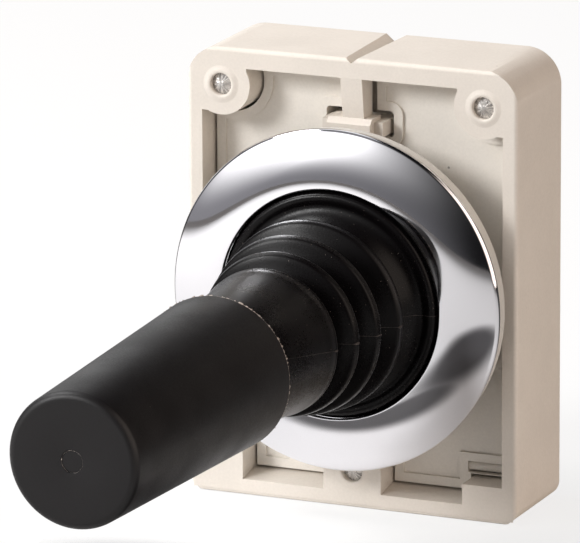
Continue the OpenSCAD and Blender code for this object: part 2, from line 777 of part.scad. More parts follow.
module disc_nut() {
    color(steel) on_axis() translate([0, 0, disc_low + disc_nut_inset]) difference() {
        cylinder(r = disc_nut_r, h = disc_nut_h, $fn = 6);
        disc(tail_r, -eps, disc_nut_h + eps);
    }
}

module bellows_spacer() {
    color(dark) on_axis()
        tube(spacer_r, shaft_r, spacer_top - cuff_gap - cuff_l - spacer_out, spacer_top);
}

module grip() {
    edge_at = [grip_end_r - grip_edge_r, grip_end - grip_edge_r];
    color(black) on_axis() difference() {
        rotate_extrude($fn = 96) {
            polygon([
                [0, grip_at], [grip_base_r, grip_at], [grip_end_r, edge_at[1]],
                edge_at, [edge_at[0], grip_end], [0, grip_end]
            ]);
            translate(edge_at) intersection() {
                circle(grip_edge_r);
                square(grip_edge_r);
            }
        }
        disc(recess_r, grip_at - eps, spacer_top, $fn = 96);
        disc(insert_r, spacer_top - eps, spacer_top + insert_l);
        disc(mark_r, grip_end - mark_h, grip_end + eps);
    }
}

module grip_insert() {
    color(brass) on_axis() tube(insert_r, stud_r, spacer_top, spacer_top + insert_l);
}

// Place of the plunger and spring on one side: 0 right, 90 up, 180 left, 270 down
module on_side(turn) {
    on_axis() rotate([0, 0, turn]) translate([plunger_at, 0, 0]) children();
}

module plunger(turn) {
    color(white) on_side(turn) {
        intersection() {
            disc(plunger_head_r, plunger_neck, plunger_top);
            translate([0, 0, plunger_top - plunger_dome_r]) sphere(r = plunger_dome_r);
        }
        disc(plunger_r, plunger_tip, plunger_neck + eps);
    }
}

// Compression spring, swept along a helix between the pocket's floor and the plunger's head
module plunger_spring(turn) {
    wire_r = wire_d / 2;
    low = pocket_low + wire_r;
    high = plunger_neck - wire_r;
    per_turn = 18;
    sides = 6;
    rings = round(spring_turns * per_turn);
    points = [
        for (k = [0 : rings]) for (c = [0 : sides - 1])
            let (a = 360 * k / per_turn, b = 360 * c / sides, r = coil_r + wire_r * cos(b))
            [r * cos(a), r * sin(a), low + (high - low) * k / rings + wire_r * sin(b)]
    ];
    first = [for (c = [0 : sides - 1]) c];
    last = [for (c = [sides - 1 : -1 : 0]) rings * sides + c];
    around = [
        for (k = [0 : rings - 1]) for (c = [0 : sides - 1])
            let (low_row = k * sides, high_row = low_row + sides, next = (c + 1) % sides)
            [low_row + c, high_row + c, high_row + next, low_row + next]
    ];
    color(steel) on_side(turn) polyhedron(points, concat([first, last], around));
}

module plunger_up() { plunger(90); }
module plunger_down() { plunger(270); }
module plunger_left() { plunger(180); }
module plunger_right() { plunger(0); }
module spring_up() { plunger_spring(90); }
module spring_down() { plunger_spring(270); }
module spring_left() { plunger_spring(180); }
module spring_right() { plunger_spring(0); }

clamp_frame();
carrier_plate();
clamp_screws();
neck_body();
retaining_nut();
panel_gasket();
bezel_ring();
bellows();
gate_plate();
pivot_sleeve();
plunger_guide();
rear_circlip();
gimbal_ring();
trunnion_pins();
lever_hub();
cross_pin();
lever_shaft();
actuator_disc();
disc_nut();
bellows_spacer();
grip();
grip_insert();
plunger_up();
plunger_down();
plunger_left();
plunger_right();
spring_up();
spring_down();
spring_left();
spring_right();
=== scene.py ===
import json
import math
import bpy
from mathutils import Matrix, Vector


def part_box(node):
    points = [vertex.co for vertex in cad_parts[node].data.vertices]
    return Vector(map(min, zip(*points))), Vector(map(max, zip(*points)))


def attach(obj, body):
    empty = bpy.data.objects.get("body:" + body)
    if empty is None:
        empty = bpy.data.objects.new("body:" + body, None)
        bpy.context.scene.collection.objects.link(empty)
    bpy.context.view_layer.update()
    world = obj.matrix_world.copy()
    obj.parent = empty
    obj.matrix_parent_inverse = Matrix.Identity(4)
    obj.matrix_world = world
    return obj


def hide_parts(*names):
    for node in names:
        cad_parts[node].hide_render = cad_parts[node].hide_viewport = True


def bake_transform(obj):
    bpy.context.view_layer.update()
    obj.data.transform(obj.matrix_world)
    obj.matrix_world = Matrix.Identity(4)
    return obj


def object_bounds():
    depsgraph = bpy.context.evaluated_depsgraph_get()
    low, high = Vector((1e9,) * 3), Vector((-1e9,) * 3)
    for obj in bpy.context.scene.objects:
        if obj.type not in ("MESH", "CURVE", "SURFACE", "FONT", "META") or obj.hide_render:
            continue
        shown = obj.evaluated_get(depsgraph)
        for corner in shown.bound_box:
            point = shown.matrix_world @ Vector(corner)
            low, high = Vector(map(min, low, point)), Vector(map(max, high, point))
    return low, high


bl_info = {
    "name": "Industrial joystick",
    "version": (1, 0, 0),
    "blender": (4, 5, 0),
    "location": "3D View > Sidebar > Joystick",
    "description": "Finishes and moulded details of a panel joystick, built round its CAD model",
    "category": "Object",
}

import bmesh
import bpy
from bpy.props import FloatProperty, FloatVectorProperty, IntProperty, PointerProperty
from mathutils import Matrix, Vector, noise

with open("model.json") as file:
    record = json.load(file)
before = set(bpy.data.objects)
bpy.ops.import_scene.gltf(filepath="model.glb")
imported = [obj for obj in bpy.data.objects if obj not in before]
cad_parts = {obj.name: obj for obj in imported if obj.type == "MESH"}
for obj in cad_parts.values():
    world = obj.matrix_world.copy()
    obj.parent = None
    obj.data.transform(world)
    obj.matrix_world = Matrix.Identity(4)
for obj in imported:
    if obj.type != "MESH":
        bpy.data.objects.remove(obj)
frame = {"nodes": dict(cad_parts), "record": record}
CAD_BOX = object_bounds()
MM = 0.001
PHOTO_W = 580
PHOTO_H = 543
# The frame's front face, centred between its sides, shows at this pixel of the photograph
FRAME_PX = (351.48, 284.97)
SENSOR_W = 36.0
# Segments round a turned piece
ROUND = 192
FINE_ROUND = 256
SMALL_ROUND = 72
# Radii of the CAD model that its boxes don't give
CAD_CORNER_R = 3.3 * MM
CAD_FOOT_CORNER_R = 1.0 * MM
SHANK_R = 1.4 * MM
SCREW_HEAD_R = 2.5 * MM
INSERT_R = 4.0 * MM
# Depth of the insert's hole in the grip, and of the spacer in the boot's cuff
INSERT_DEPTH = 10 * MM
CUFF_DEPTH = 7 * MM
# Points of a CAD mesh that are this close are one, and faces that turn less than this are one
MERGE = 0.0005 * MM
FLAT_ANGLE = math.radians(0.5)
# Edges that turn more than this get a soft edge
EDGE_ANGLE = math.radians(32)


def linear(channel):
    """A colour channel from 0 to 255 on screen, as linear light."""
    share = channel / 255
    return share / 12.92 if share <= 0.04045 else ((share + 0.055) / 1.055) ** 2.4


def length(name, size, about):
    """A size in millimetres, kept in metres."""
    return FloatProperty(name=name, description=about, default=size * MM, unit="LENGTH", precision=5)


def angle(name, degrees, about):
    return FloatProperty(name=name, description=about, default=math.radians(degrees), subtype="ANGLE")


def number(name, value, about, **limits):
    return FloatProperty(name=name, description=about, default=value, **limits)


def share(name, value, about):
    return number(name, value, about, min=0, soft_max=1, subtype="FACTOR")


def colour(name, red, green, blue, about):
    default = [linear(red), linear(green), linear(blue)]
    return FloatVectorProperty(
        name=name, description=about, default=default, size=3, min=0, max=1, subtype="COLOR"
    )


class MouldingSizes(bpy.types.PropertyGroup):
    frame_edge: length("Frame edge", 0.5, "Width of the soft edges on the clamp frame")
    plate_edge: length("Plate edge", 0.3, "Width of the soft edges on the carrier plate")
    neck_edge: length("Neck edge", 0.25, "Width of the soft edges on the neck and its nut")
    corner: length("Top corners", 4.6, "Radius of the clamp frame's two top corners")
    foot_corner: length("Bottom corners", 2.1, "Radius of the clamp frame's two bottom corners")
    notch_front: length("Notch, front", 0.68, "Depth of the notch in the top side, at the front")
    notch_rear: length("Notch, rear", 1.17, "Depth of the notch in the top side, at the rear")
    notch_slope: angle("Notch slope", 49.5, "Slope of the notch's sides against the upright")


class ScrewSizes(bpy.types.PropertyGroup):
    cone: angle("Cone", 62, "Slope of the cone point against the screw's axis")
    tip: length("Tip", 0.3, "Radius of the flat on the cone point")
    ring_step: length("Turning step", 0.16, "Distance between the turning marks on the cone")
    ring_depth: length("Turning depth", 0.02, "Depth of the turning marks on the cone")
    slot_w: length("Slot width", 0.8, "Width of the slot in the head")
    slot_h: length("Slot depth", 0.9, "Depth of the slot in the head")
    head_h: length("Head height", 1.9, "Height of the head")
    mouth_r: length("Mouth", 2.5, "Outer radius of the soft ring round a screw's point")
    mouth_h: length("Mouth height", 0.15, "Height of that ring over the frame's front face")


class BezelSizes(bpy.types.PropertyGroup):
    open_r: length("Opening", 14.8, "Radius of the opening")
    open_rise: length("Opening rise", 2.37, "Height of the opening's edge above the collar")
    rim_h: length("Rim", 0.3, "Height of the outer edge above the collar")
    dome_rise: length("Dome rise", 0.42, "How far the dome rises over the line between its edges")
    wall: length("Wall", 1.0, "Thickness of the wall")
    rim_edge: length("Rim edge", 0.7, "Radius of the rolled outer edge")
    open_edge: length("Opening edge", 0.2, "Radius of the rolled edge of the opening")
    groove: length("Groove", 0.12, "Depth of the line inside the opening")


class BootSizes(bpy.types.PropertyGroup):
    lips: IntProperty(name="Lips", description="Number of lips", default=4, min=2)
    first_lip: length("First lip", 13.3, "Height of the first lip above the panel's back")
    last_lip: length("Last lip", 27.2, "Height of the last lip above the panel's back")
    first_r: length("First lip radius", 12.35, "Radius of the first lip")
    last_r: length("Last lip radius", 9.35, "Radius of the last lip")
    first_fold: length("First fold", 2.3, "Distance of the first fold below the first lip")
    draw_in: number("Draw-in", 1.25, "Above 1 the last lips are smaller")
    depth: length("Fold depth", 2.8, "Depth of the folds between the lips")
    spread: number("Spread", 0.9, "Below 1 the lips draw together")
    sharp: number("Sharpness", 1.9, "1 for a plain wave")
    flat: share("Flat tips", 0.8, "Share of the wave at which the tips are cut flat")
    wall: length("Wall", 1.1, "Thickness of the rubber, across the axis")
    foot_r: length("Foot", 13.3, "Inner radius of the foot")
    ridge_h: length("Ridge", 7.6, "Height of the foot's ridge above the panel's back")
    cuff_r: length("Cuff", 8.15, "Radius of the cuff at the grip")
    bore: length("Bore", 5.05, "Radius of the cuff's bore")
    seam: length("Parting line", 0.022, "Radius of the fine line left by the mould")
    tab: length("Flash tabs", 0.11, "Radius of the flash tabs on the lips")
    drift: number("Drift", 0.16, "Rise of the parting line along the cuff")


class GripSizes(bpy.types.PropertyGroup):
    base_r: length("Base", 9.75, "Radius of the base")
    end_r: length("End", 8.35, "Radius of the free end")
    end_edge: length("End edge", 1.0, "Radius of the free end's edge")
    wall: length("Base wall", 1.1, "Wall round the recess in the base")
    recess: length("Recess", 2.0, "Depth of the recess in the base")
    mark_r: length("Mark", 1.35, "Radius of the moulding mark")
    mark_h: length("Mark depth", 0.15, "Depth of the moulding mark")
    flash: length("Flash", 0.115, "Radius of the flash line on the base's edge")


class SpringSizes(bpy.types.PropertyGroup):
    wire: length("Wire", 0.36, "Thickness of the spring wire")
    turns: number("Turns", 4.0, "Number of turns", min=2)
    closed: share("Closed ends", 0.6, "How much the turns draw together at a spring's two ends")


class Finishes(bpy.types.PropertyGroup):
    beige: colour("Frame", 226, 218, 208, "Moulded plastic of the frame")
    # Paler than the frame, though it is the same plastic: painted light that makes up for the shade in
    # the plate's recess
    plate: colour("Plate", 238, 232, 223, "Moulded plastic of the carrier plate")
    pale: colour("Neck", 206, 203, 197, "Moulded plastic of the neck and nut")
    natural: colour("Inner plastic", 232, 229, 220, "Natural plastic of the inner pieces")
    chrome: colour("Chrome", 236, 236, 240, "Plate on the bezel")
    steel: colour("Steel", 176, 173, 170, "Zinc-plated steel")
    brass: colour("Brass", 205, 165, 92, "Machined brass")
    rubber: colour("Rubber", 9, 7, 8, "Rubber of the boot")
    gasket: colour("Gasket", 40, 39, 40, "Rubber of the panel seal")
    grip: colour("Grip", 11, 8, 10, "Plastic of the grip")
    flash: colour("Flash", 176, 166, 158, "Torn edges that the grip's mould left")
    seam: colour("Parting line", 62, 55, 53, "Fine line that the boot's mould left")
    dust: colour("Dust", 138, 128, 121, "Dust on the dark pieces")


class StageSettings(bpy.types.PropertyGroup):
    azimuth: angle("Azimuth", 23.36, "Camera's turn to the object's right side")
    elevation: angle("Elevation", 14.66, "Camera's height over the horizon")
    roll: angle("Roll", -0.28, "Camera's turn round its own axis")
    distance: length("Distance", 884.94, "Distance of the camera from the frame's front face")
    lens: number("Lens", 434.5, "Focal length in millimetres")
    target_z: length("Target", 0.8, "Height of the frame's middle over the lever's axis")
    box_a: number("Left box", 1.5, "Strength of the soft box at the left")
    box_b: number("Right box", 1.75, "Strength of the warm box at the right")
    dark: number("Room", 0.01, "Strength of the dark room")
    haze: number("Haze", 0.28, "Strength of the pale band at the left")
    backdrop: number("Backdrop", 0.35, "Strength of the backdrop")
    key_power: number("Key lamp", 2.15, "Power of the key lamp, in watts")
    key_azimuth: angle("Key azimuth", -84, "Key lamp's turn to the object's right side")
    key_elevation: angle("Key elevation", 52, "Key lamp's height over the horizon")
    key_distance: length("Key distance", 620, "Distance of the key lamp")
    key_size: length("Key size", 200, "Width of the key lamp")
    fill_power: number("Fill lamp", 4.7, "Power of the front lamp, in watts")
    fill_azimuth: angle("Fill azimuth", -40, "Front lamp's turn to the object's right side")
    fill_elevation: angle("Fill elevation", 27, "Front lamp's height over the horizon")
    fill_distance: length("Fill distance", 900, "Distance of the front lamp")
    fill_size: length("Fill size", 260, "Width of the front lamp")


def settings():
    return bpy.context.scene.joystick


def wire(tree, socket, value):
    """Links a socket to another, or sets its value."""
    if isinstance(value, bpy.types.NodeSocket):
        tree.links.new(value, socket)
    else:
        socket.default_value = value


def add(tree, kind, inputs=None, **options):
    """A new node, with its options set and its inputs linked or set by name or number."""
    node = tree.nodes.new(kind)
    for key, value in options.items():
        setattr(node, key, value)
    for key, value in (inputs or {}).items():
        wire(tree, node.inputs[key], value)
    return node


def calc(tree, operation, *values):
    """Result of one sum, in a shader tree or a geometry tree."""
    node = add(tree, "ShaderNodeMath", dict(enumerate(values)), operation=operation)
    return node.outputs[0]


def ramp_between(tree, value, low, high, to_low=0.0, to_high=1.0):
    """Smooth step of a value from low to high."""
    inputs = {"Value": value, "From Min": low, "From Max": high, "To Min": to_low, "To Max": to_high}
    return add(tree, "ShaderNodeMapRange", inputs, interpolation_type="SMOOTHSTEP").outputs[0]


def new_group(name, kind, inputs, outputs):
    """An empty node group with named sockets, and its two end nodes."""
    tree = bpy.data.node_groups.new(name, kind)
    for label, socket, default in inputs:
        made = tree.interface.new_socket(label, in_out="INPUT", socket_type=socket)
        if default is not None:
            made.default_value = default
    for label, socket in outputs:
        tree.interface.new_socket(label, in_out="OUTPUT", socket_type=socket)
    return tree, tree.nodes.new("NodeGroupInput"), tree.nodes.new("NodeGroupOutput")


def grain_group():
    """Fine moulded grain with soft shade differences over it."""
    tree, given, result = new_group(
        "Moulded grain", "ShaderNodeTree",
        [("Vector", "NodeSocketVector", None), ("Grain", "NodeSocketFloat", 3200.0),
         ("Clouds", "NodeSocketFloat", 140.0)],
        [("Height", "NodeSocketFloat"), ("Shade", "NodeSocketFloat")],
    )
    fine = add(tree, "ShaderNodeTexNoise", {
        "Vector": given.outputs["Vector"], "Scale": given.outputs["Grain"], "Detail": 3.0,
    })
    cloud = add(tree, "ShaderNodeTexNoise", {
        "Vector": given.outputs["Vector"], "Scale": given.outputs["Clouds"], "Detail": 4.0,
    })
    fine_share = 0.45
    clouds = calc(tree, "MULTIPLY", cloud.outputs[0], 1 - fine_share)
    both = calc(tree, "MULTIPLY_ADD", fine.outputs[0], fine_share, clouds)
    wire(tree, result.inputs["Height"], fine.outputs[0])
    wire(tree, result.inputs["Shade"], ramp_between(tree, both, 0.32, 0.68))
    return tree


def specks_group():
    """Small specks, each with its own size."""
    tree, given, result = new_group(
        "Specks", "ShaderNodeTree",
        [("Vector", "NodeSocketVector", None), ("Cells", "NodeSocketFloat", 1500.0),
         ("Size", "NodeSocketFloat", 0.12), ("Rarity", "NodeSocketFloat", 3.0)],
        [("Mask", "NodeSocketFloat")],
    )
    cells = add(tree, "ShaderNodeTexVoronoi", {
        "Vector": given.outputs["Vector"], "Scale": given.outputs["Cells"],
    })
    lot = add(tree, "ShaderNodeSeparateColor", {"Color": cells.outputs["Color"]}).outputs[0]
    rare = calc(tree, "POWER", lot, given.outputs["Rarity"])
    reach = calc(tree, "MULTIPLY", rare, given.outputs["Size"])
    inside = calc(tree, "DIVIDE", cells.outputs["Distance"], calc(tree, "MAXIMUM", reach, 0.0001))
    wire(tree, result.inputs["Mask"], ramp_between(tree, inside, 0.6, 1.0, 1.0, 0.0))
    return tree


def smudge_group():
    """Faint smears and hairlines that vary a metal's gloss."""
    tree, given, result = new_group(
        "Smudges", "ShaderNodeTree",
        [("Vector", "NodeSocketVector", None), ("Smears", "NodeSocketFloat", 90.0),
         ("Low", "NodeSocketFloat", 0.04), ("High", "NodeSocketFloat", 0.09)],
        [("Roughness", "NodeSocketFloat"), ("Height", "NodeSocketFloat")],
    )
    smear = add(tree, "ShaderNodeTexNoise", {
        "Vector": given.outputs["Vector"], "Scale": given.outputs["Smears"], "Detail": 6.0,
        "Distortion": 0.6,
    })
    rough = add(tree, "ShaderNodeMapRange", {
        "Value": smear.outputs[0], "From Min": 0.35, "From Max": 0.7,
        "To Min": given.outputs["Low"], "To Max": given.outputs["High"],
    })
    wire(tree, result.inputs["Roughness"], rough.outputs[0])
    wire(tree, result.inputs["Height"], smear.outputs[0])
    return tree


def group_node(tree, name, maker, inputs):
    """Places a shared group, which is built the first time it is asked for."""
    group = bpy.data.node_groups.get(name) or maker()
    node = tree.nodes.new("ShaderNodeGroup")
    node.node_tree = group
    for key, value in inputs.items():
        wire(tree, node.inputs[key], value)
    return node


def new_material(name):
    """A material with its shader, the place on the object, and its tree."""
    material = bpy.data.materials.new(name)
    material.use_nodes = True
    tree = material.node_tree
    shader = tree.nodes["Principled BSDF"]
    place = tree.nodes.new("ShaderNodeTexCoord").outputs["Object"]
    return material, tree, shader, place


def mixed(tree, factor, first, second):
    """Blend of two colours; each is a socket or three channels."""
    node = add(tree, "ShaderNodeMix", {"Factor": factor}, data_type="RGBA")
    for socket, value in ((node.inputs[6], first), (node.inputs[7], second)):
        wire(tree, socket, value if isinstance(value, bpy.types.NodeSocket) else (*value, 1))
    return node.outputs[2]


def scaled(rgb, factor):
    return [min(1, channel * factor) for channel in rgb]


def moulded_plastic(name, rgb, rough, grain, depth, contrast, speck=None, gloss=0.4):
    """Moulded plastic or rubber with grain, soft shade differences and specks.

    The depth of the grain is in millimetres.
    """
    material, tree, shader, place = new_material(name)
    surface = group_node(tree, "Moulded grain", grain_group, {"Vector": place, "Grain": grain})
    shade = surface.outputs["Shade"]
    tint = mixed(tree, shade, scaled(rgb, 1 - contrast), scaled(rgb, 1 + contrast))
    if speck:
        spots = group_node(tree, "Specks", specks_group, {
            "Vector": place, "Cells": speck["cells"], "Size": speck["size"], "Rarity": speck["rarity"],
        })
        tint = mixed(tree, spots.outputs["Mask"], tint, speck["rgb"])
    wire(tree, shader.inputs["Base Color"], tint)
    uneven = 0.05
    gloss_map = ramp_between(tree, shade, 0.0, 1.0, rough + uneven, rough - uneven)
    wire(tree, shader.inputs["Roughness"], gloss_map)
    bump = add(tree, "ShaderNodeBump", {
        "Strength": 0.6, "Distance": depth * MM, "Height": surface.outputs["Height"],
    })
    wire(tree, shader.inputs["Normal"], bump.outputs[0])
    shader.inputs["Specular IOR Level"].default_value = gloss
    return material


def polished_metal(name, rgb, low, high, depth=0.0, smears=90.0):
    """Metal whose gloss varies with faint smudges, and with fine dents of a depth in millimetres."""
    material, tree, shader, place = new_material(name)
    film = group_node(tree, "Smudges", smudge_group, {
        "Vector": place, "Smears": smears, "Low": low, "High": high,
    })
    fine = group_node(tree, "Moulded grain", grain_group, {"Vector": place, "Grain": 6000.0})
    tint = mixed(tree, fine.outputs["Shade"], scaled(rgb, 0.97), rgb)
    wire(tree, shader.inputs["Base Color"], tint)
    wire(tree, shader.inputs["Roughness"], film.outputs["Roughness"])
    if depth:
        bump = add(tree, "ShaderNodeBump", {
            "Strength": 0.5, "Distance": depth * MM, "Height": fine.outputs["Height"],
        })
        wire(tree, shader.inputs["Normal"], bump.outputs[0])
    shader.inputs["Metallic"].default_value = 1.0
    return material


def turned_metal(name, rgb):
    """Turned steel: streaks run from the tip of the cone to its edge, after the piece's own map."""
    material, tree, shader, place = new_material(name)
    plan = tree.nodes.new("ShaderNodeUVMap")
    stretch = add(tree, "ShaderNodeMapping", {"Vector": plan.outputs[0], "Scale": (34.0, 1.2, 1.0)})
    streaks = add(tree, "ShaderNodeTexNoise", {
        "Vector": stretch.outputs[0], "Scale": 1.0, "Detail": 3.0,
    })
    film = group_node(tree, "Smudges", smudge_group, {
        "Vector": place, "Smears": 700.0, "Low": 0.2, "High": 0.42,
    })
    tone = ramp_between(tree, streaks.outputs[0], 0.36, 0.64)
    wire(tree, shader.inputs["Base Color"], mixed(tree, tone, scaled(rgb, 0.6), scaled(rgb, 2.2)))
    wire(tree, shader.inputs["Roughness"], film.outputs["Roughness"])
    bump = add(tree, "ShaderNodeBump", {
        "Strength": 0.9, "Distance": 0.05 * MM, "Height": streaks.outputs[0],
    })
    wire(tree, shader.inputs["Normal"], bump.outputs[0])
    shader.inputs["Metallic"].default_value = 0.6
    return material


def frame_plastic(name, rgb):
    """Pale plastic of the frame and its plate, with rare small flecks."""
    fleck = {"cells": 260.0, "size": 0.05, "rarity": 2.0, "rgb": scaled(rgb, 0.45)}
    return moulded_plastic(name, rgb, rough=0.55, grain=3000, depth=0.012, contrast=0.035, speck=fleck)


def beige_plastic(finish):
    return frame_plastic("Beige plastic", finish.beige)


# Frame plastic made paler by painted light, for the shaded recess of the plate
def plate_plastic(finish):
    return frame_plastic("Plate plastic", finish.plate)


def pale_plastic(finish):
    return moulded_plastic("Pale plastic", finish.pale, rough=0.5, grain=3600, depth=0.008, contrast=0.03)


def natural_plastic(finish):
    return moulded_plastic(
        "Natural plastic", finish.natural, rough=0.42, grain=3600, depth=0.006, contrast=0.02
    )


def boot_rubber(finish):
    dust = {"cells": 2600.0, "size": 0.14, "rarity": 3.2, "rgb": finish.dust}
    return moulded_plastic(
        "Boot rubber", finish.rubber, rough=0.3, grain=4200, depth=0.012, contrast=0.25,
        speck=dust, gloss=0.15,
    )


def gasket_rubber(finish):
    return moulded_plastic(
        "Gasket rubber", finish.gasket, rough=0.62, grain=4200, depth=0.01, contrast=0.12
    )


def grip_plastic(finish):
    dust = {"cells": 900.0, "size": 0.05, "rarity": 5.0, "rgb": finish.dust}
    return moulded_plastic(
        "Grip plastic", finish.grip, rough=0.46, grain=4600, depth=0.016, contrast=0.06,
        speck=dust, gloss=0.36,
    )


def mould_flash(finish):
    return moulded_plastic("Mould flash", finish.flash, rough=0.6, grain=5000, depth=0.02, contrast=0.4)


def parting_line(finish):
    return moulded_plastic("Parting line", finish.seam, rough=0.5, grain=5000, depth=0.02, contrast=0.4)


def chrome_plate(finish):
    return polished_metal("Chrome plate", finish.chrome, low=0.035, high=0.075)


def zinc_steel(finish):
    return polished_metal("Zinc steel", finish.steel, low=0.25, high=0.4, depth=0.01, smears=300.0)


def machined_brass(finish):
    return polished_metal("Machined brass", finish.brass, low=0.2, high=0.32, depth=0.01, smears=300.0)


def turned_steel(finish):
    return turned_metal("Turned steel", finish.steel)


def material(maker):
    """The material that a maker function builds, built once."""
    store = bpy.data.materials
    name = maker.__name__.replace("_", " ").capitalize()
    return store.get(name) or maker(settings().finishes)


def link_object(name, mesh):
    piece = bpy.data.objects.new(name, mesh)
    bpy.context.scene.collection.objects.link(piece)
    return piece


def made_plain(piece):
    """Turns a piece with its modifiers into a plain mesh."""
    graph = bpy.context.evaluated_depsgraph_get()
    mesh = bpy.data.meshes.new_from_object(
        piece.evaluated_get(graph), preserve_all_data_layers=True, depsgraph=graph
    )
    piece.modifiers.clear()
    piece.data = mesh
    mesh.name = piece.name
    drop_empty_slots(mesh)
    return piece


def drop_empty_slots(mesh):
    """Keeps only the material slots that faces use, which a tree's joined shapes can leave mixed."""
    if not mesh.materials:
        return
    order = {}
    indices = [order.setdefault(face.material_index, len(order)) for face in mesh.polygons]
    finishes = [mesh.materials[index] for index in order]
    mesh.materials.clear()
    for finish in finishes:
        mesh.materials.append(finish)
    mesh.polygons.foreach_set("material_index", indices)


def smooth(piece, degrees=35):
    """Smooth shading that keeps the edges that turn more than an angle."""
    piece.data.shade_smooth()
    piece.data.set_sharp_from_angle(angle=math.radians(degrees))
    return piece


def turned(name, profile, segments=ROUND):
    """Closed ring turned round the lever's axis from a closed outline of (radius, height) points."""
    bm = bmesh.new()
    rings = []
    for k in range(segments):
        turn = 2 * math.pi * k / segments
        rings.append([
            bm.verts.new((r * math.cos(turn), -h, r * math.sin(turn))) for r, h in profile
        ])
    count = len(profile)
    for k, ring in enumerate(rings):
        following = rings[(k + 1) % segments]
        for i in range(count):
            corner = (ring[i], ring[(i + 1) % count], following[(i + 1) % count], following[i])
            bm.faces.new(corner)
    same = 0.0001 * MM
    bmesh.ops.remove_doubles(bm, verts=bm.verts, dist=same)
    bmesh.ops.dissolve_degenerate(bm, edges=bm.edges, dist=same)
    bmesh.ops.recalc_face_normals(bm, faces=bm.faces)
    mesh = bpy.data.meshes.new(name)
    bm.to_mesh(mesh)
    bm.free()
    return link_object(name, mesh)


def arc(centre, radius, start, end, steps):
    """Points on an arc; angles in degrees, from the outward direction towards the front."""
    points = []
    for k in range(steps + 1):
        turn = math.radians(start + (end - start) * k / steps)
        points.append((centre[0] + radius * math.cos(turn), centre[1] + radius * math.sin(turn)))
    return points


def finish_piece(piece, body, slot, *nodes):
    """Puts a piece on its body and hides the CAD nodes that it stands for; its slot is not used."""
    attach(piece, body)
    if nodes:
        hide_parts(*nodes)
    return piece


def softened_copy(node, name, width, maker, segments=3, reshape=None, cutter=None):
    """Copy of a CAD node whose sharp edges are rounded, as on a moulding.

    Before that, a function may move its points, and a cutter object may cut it.
    """
    mesh = bpy.data.meshes.new(name)
    bm = bmesh.new()
    bm.from_mesh(frame["nodes"][node].data)
    bmesh.ops.remove_doubles(bm, verts=bm.verts, dist=MERGE)
    bmesh.ops.dissolve_limit(
        bm, angle_limit=FLAT_ANGLE, verts=bm.verts, edges=bm.edges, delimit={"NORMAL"}
    )
    if reshape:
        reshape(bm)
    bm.to_mesh(mesh)
    bm.free()
    mesh.materials.clear()
    mesh.materials.append(material(maker))
    piece = link_object(name, mesh)
    if cutter:
        cut = piece.modifiers.new("Cut", "BOOLEAN")
        cut.object = cutter
        cut.operation = "DIFFERENCE"
    bevel = piece.modifiers.new("Soft edges", "BEVEL")
    bevel.width = width
    bevel.segments = segments
    bevel.limit_method = "ANGLE"
    bevel.angle_limit = EDGE_ANGLE
    bevel.miter_outer = "MITER_ARC"
    made_plain(piece)
    smooth(piece, 40)
    flat = piece.modifiers.new("Flat faces", "WEIGHTED_NORMAL")
    flat.keep_sharp = True
    return made_plain(piece)


def socket_key(tree, label):
    """Identifier of a tree's named input."""
    for item in tree.interface.items_tree:
        if item.item_type == "SOCKET" and item.in_out == "INPUT" and item.name == label:
            return item.identifier
    raise KeyError(label)


def nodes_modifier(piece, tree, values):
    modifier = piece.modifiers.new(tree.name, "NODES")
    modifier.node_group = tree
    for label, value in values.items():
        modifier[socket_key(tree, label)] = value
    return modifier


def painted(tree, shape, finish):
    """Gives a node's shape a material."""
    return add(tree, "GeometryNodeSetMaterial", {"Geometry": shape.outputs[0], "Material": finish})


def named_value(tree, name, kind):
    """An attribute of the points, read by its name."""
    node = add(tree, "GeometryNodeInputNamedAttribute", {"Name": name}, data_type=kind)
    return node.outputs[0]


GEOMETRY = "NodeSocketGeometry"
NUMBER = "NodeSocketFloat"
WHOLE = "NodeSocketInt"
MATERIAL = "NodeSocketMaterial"


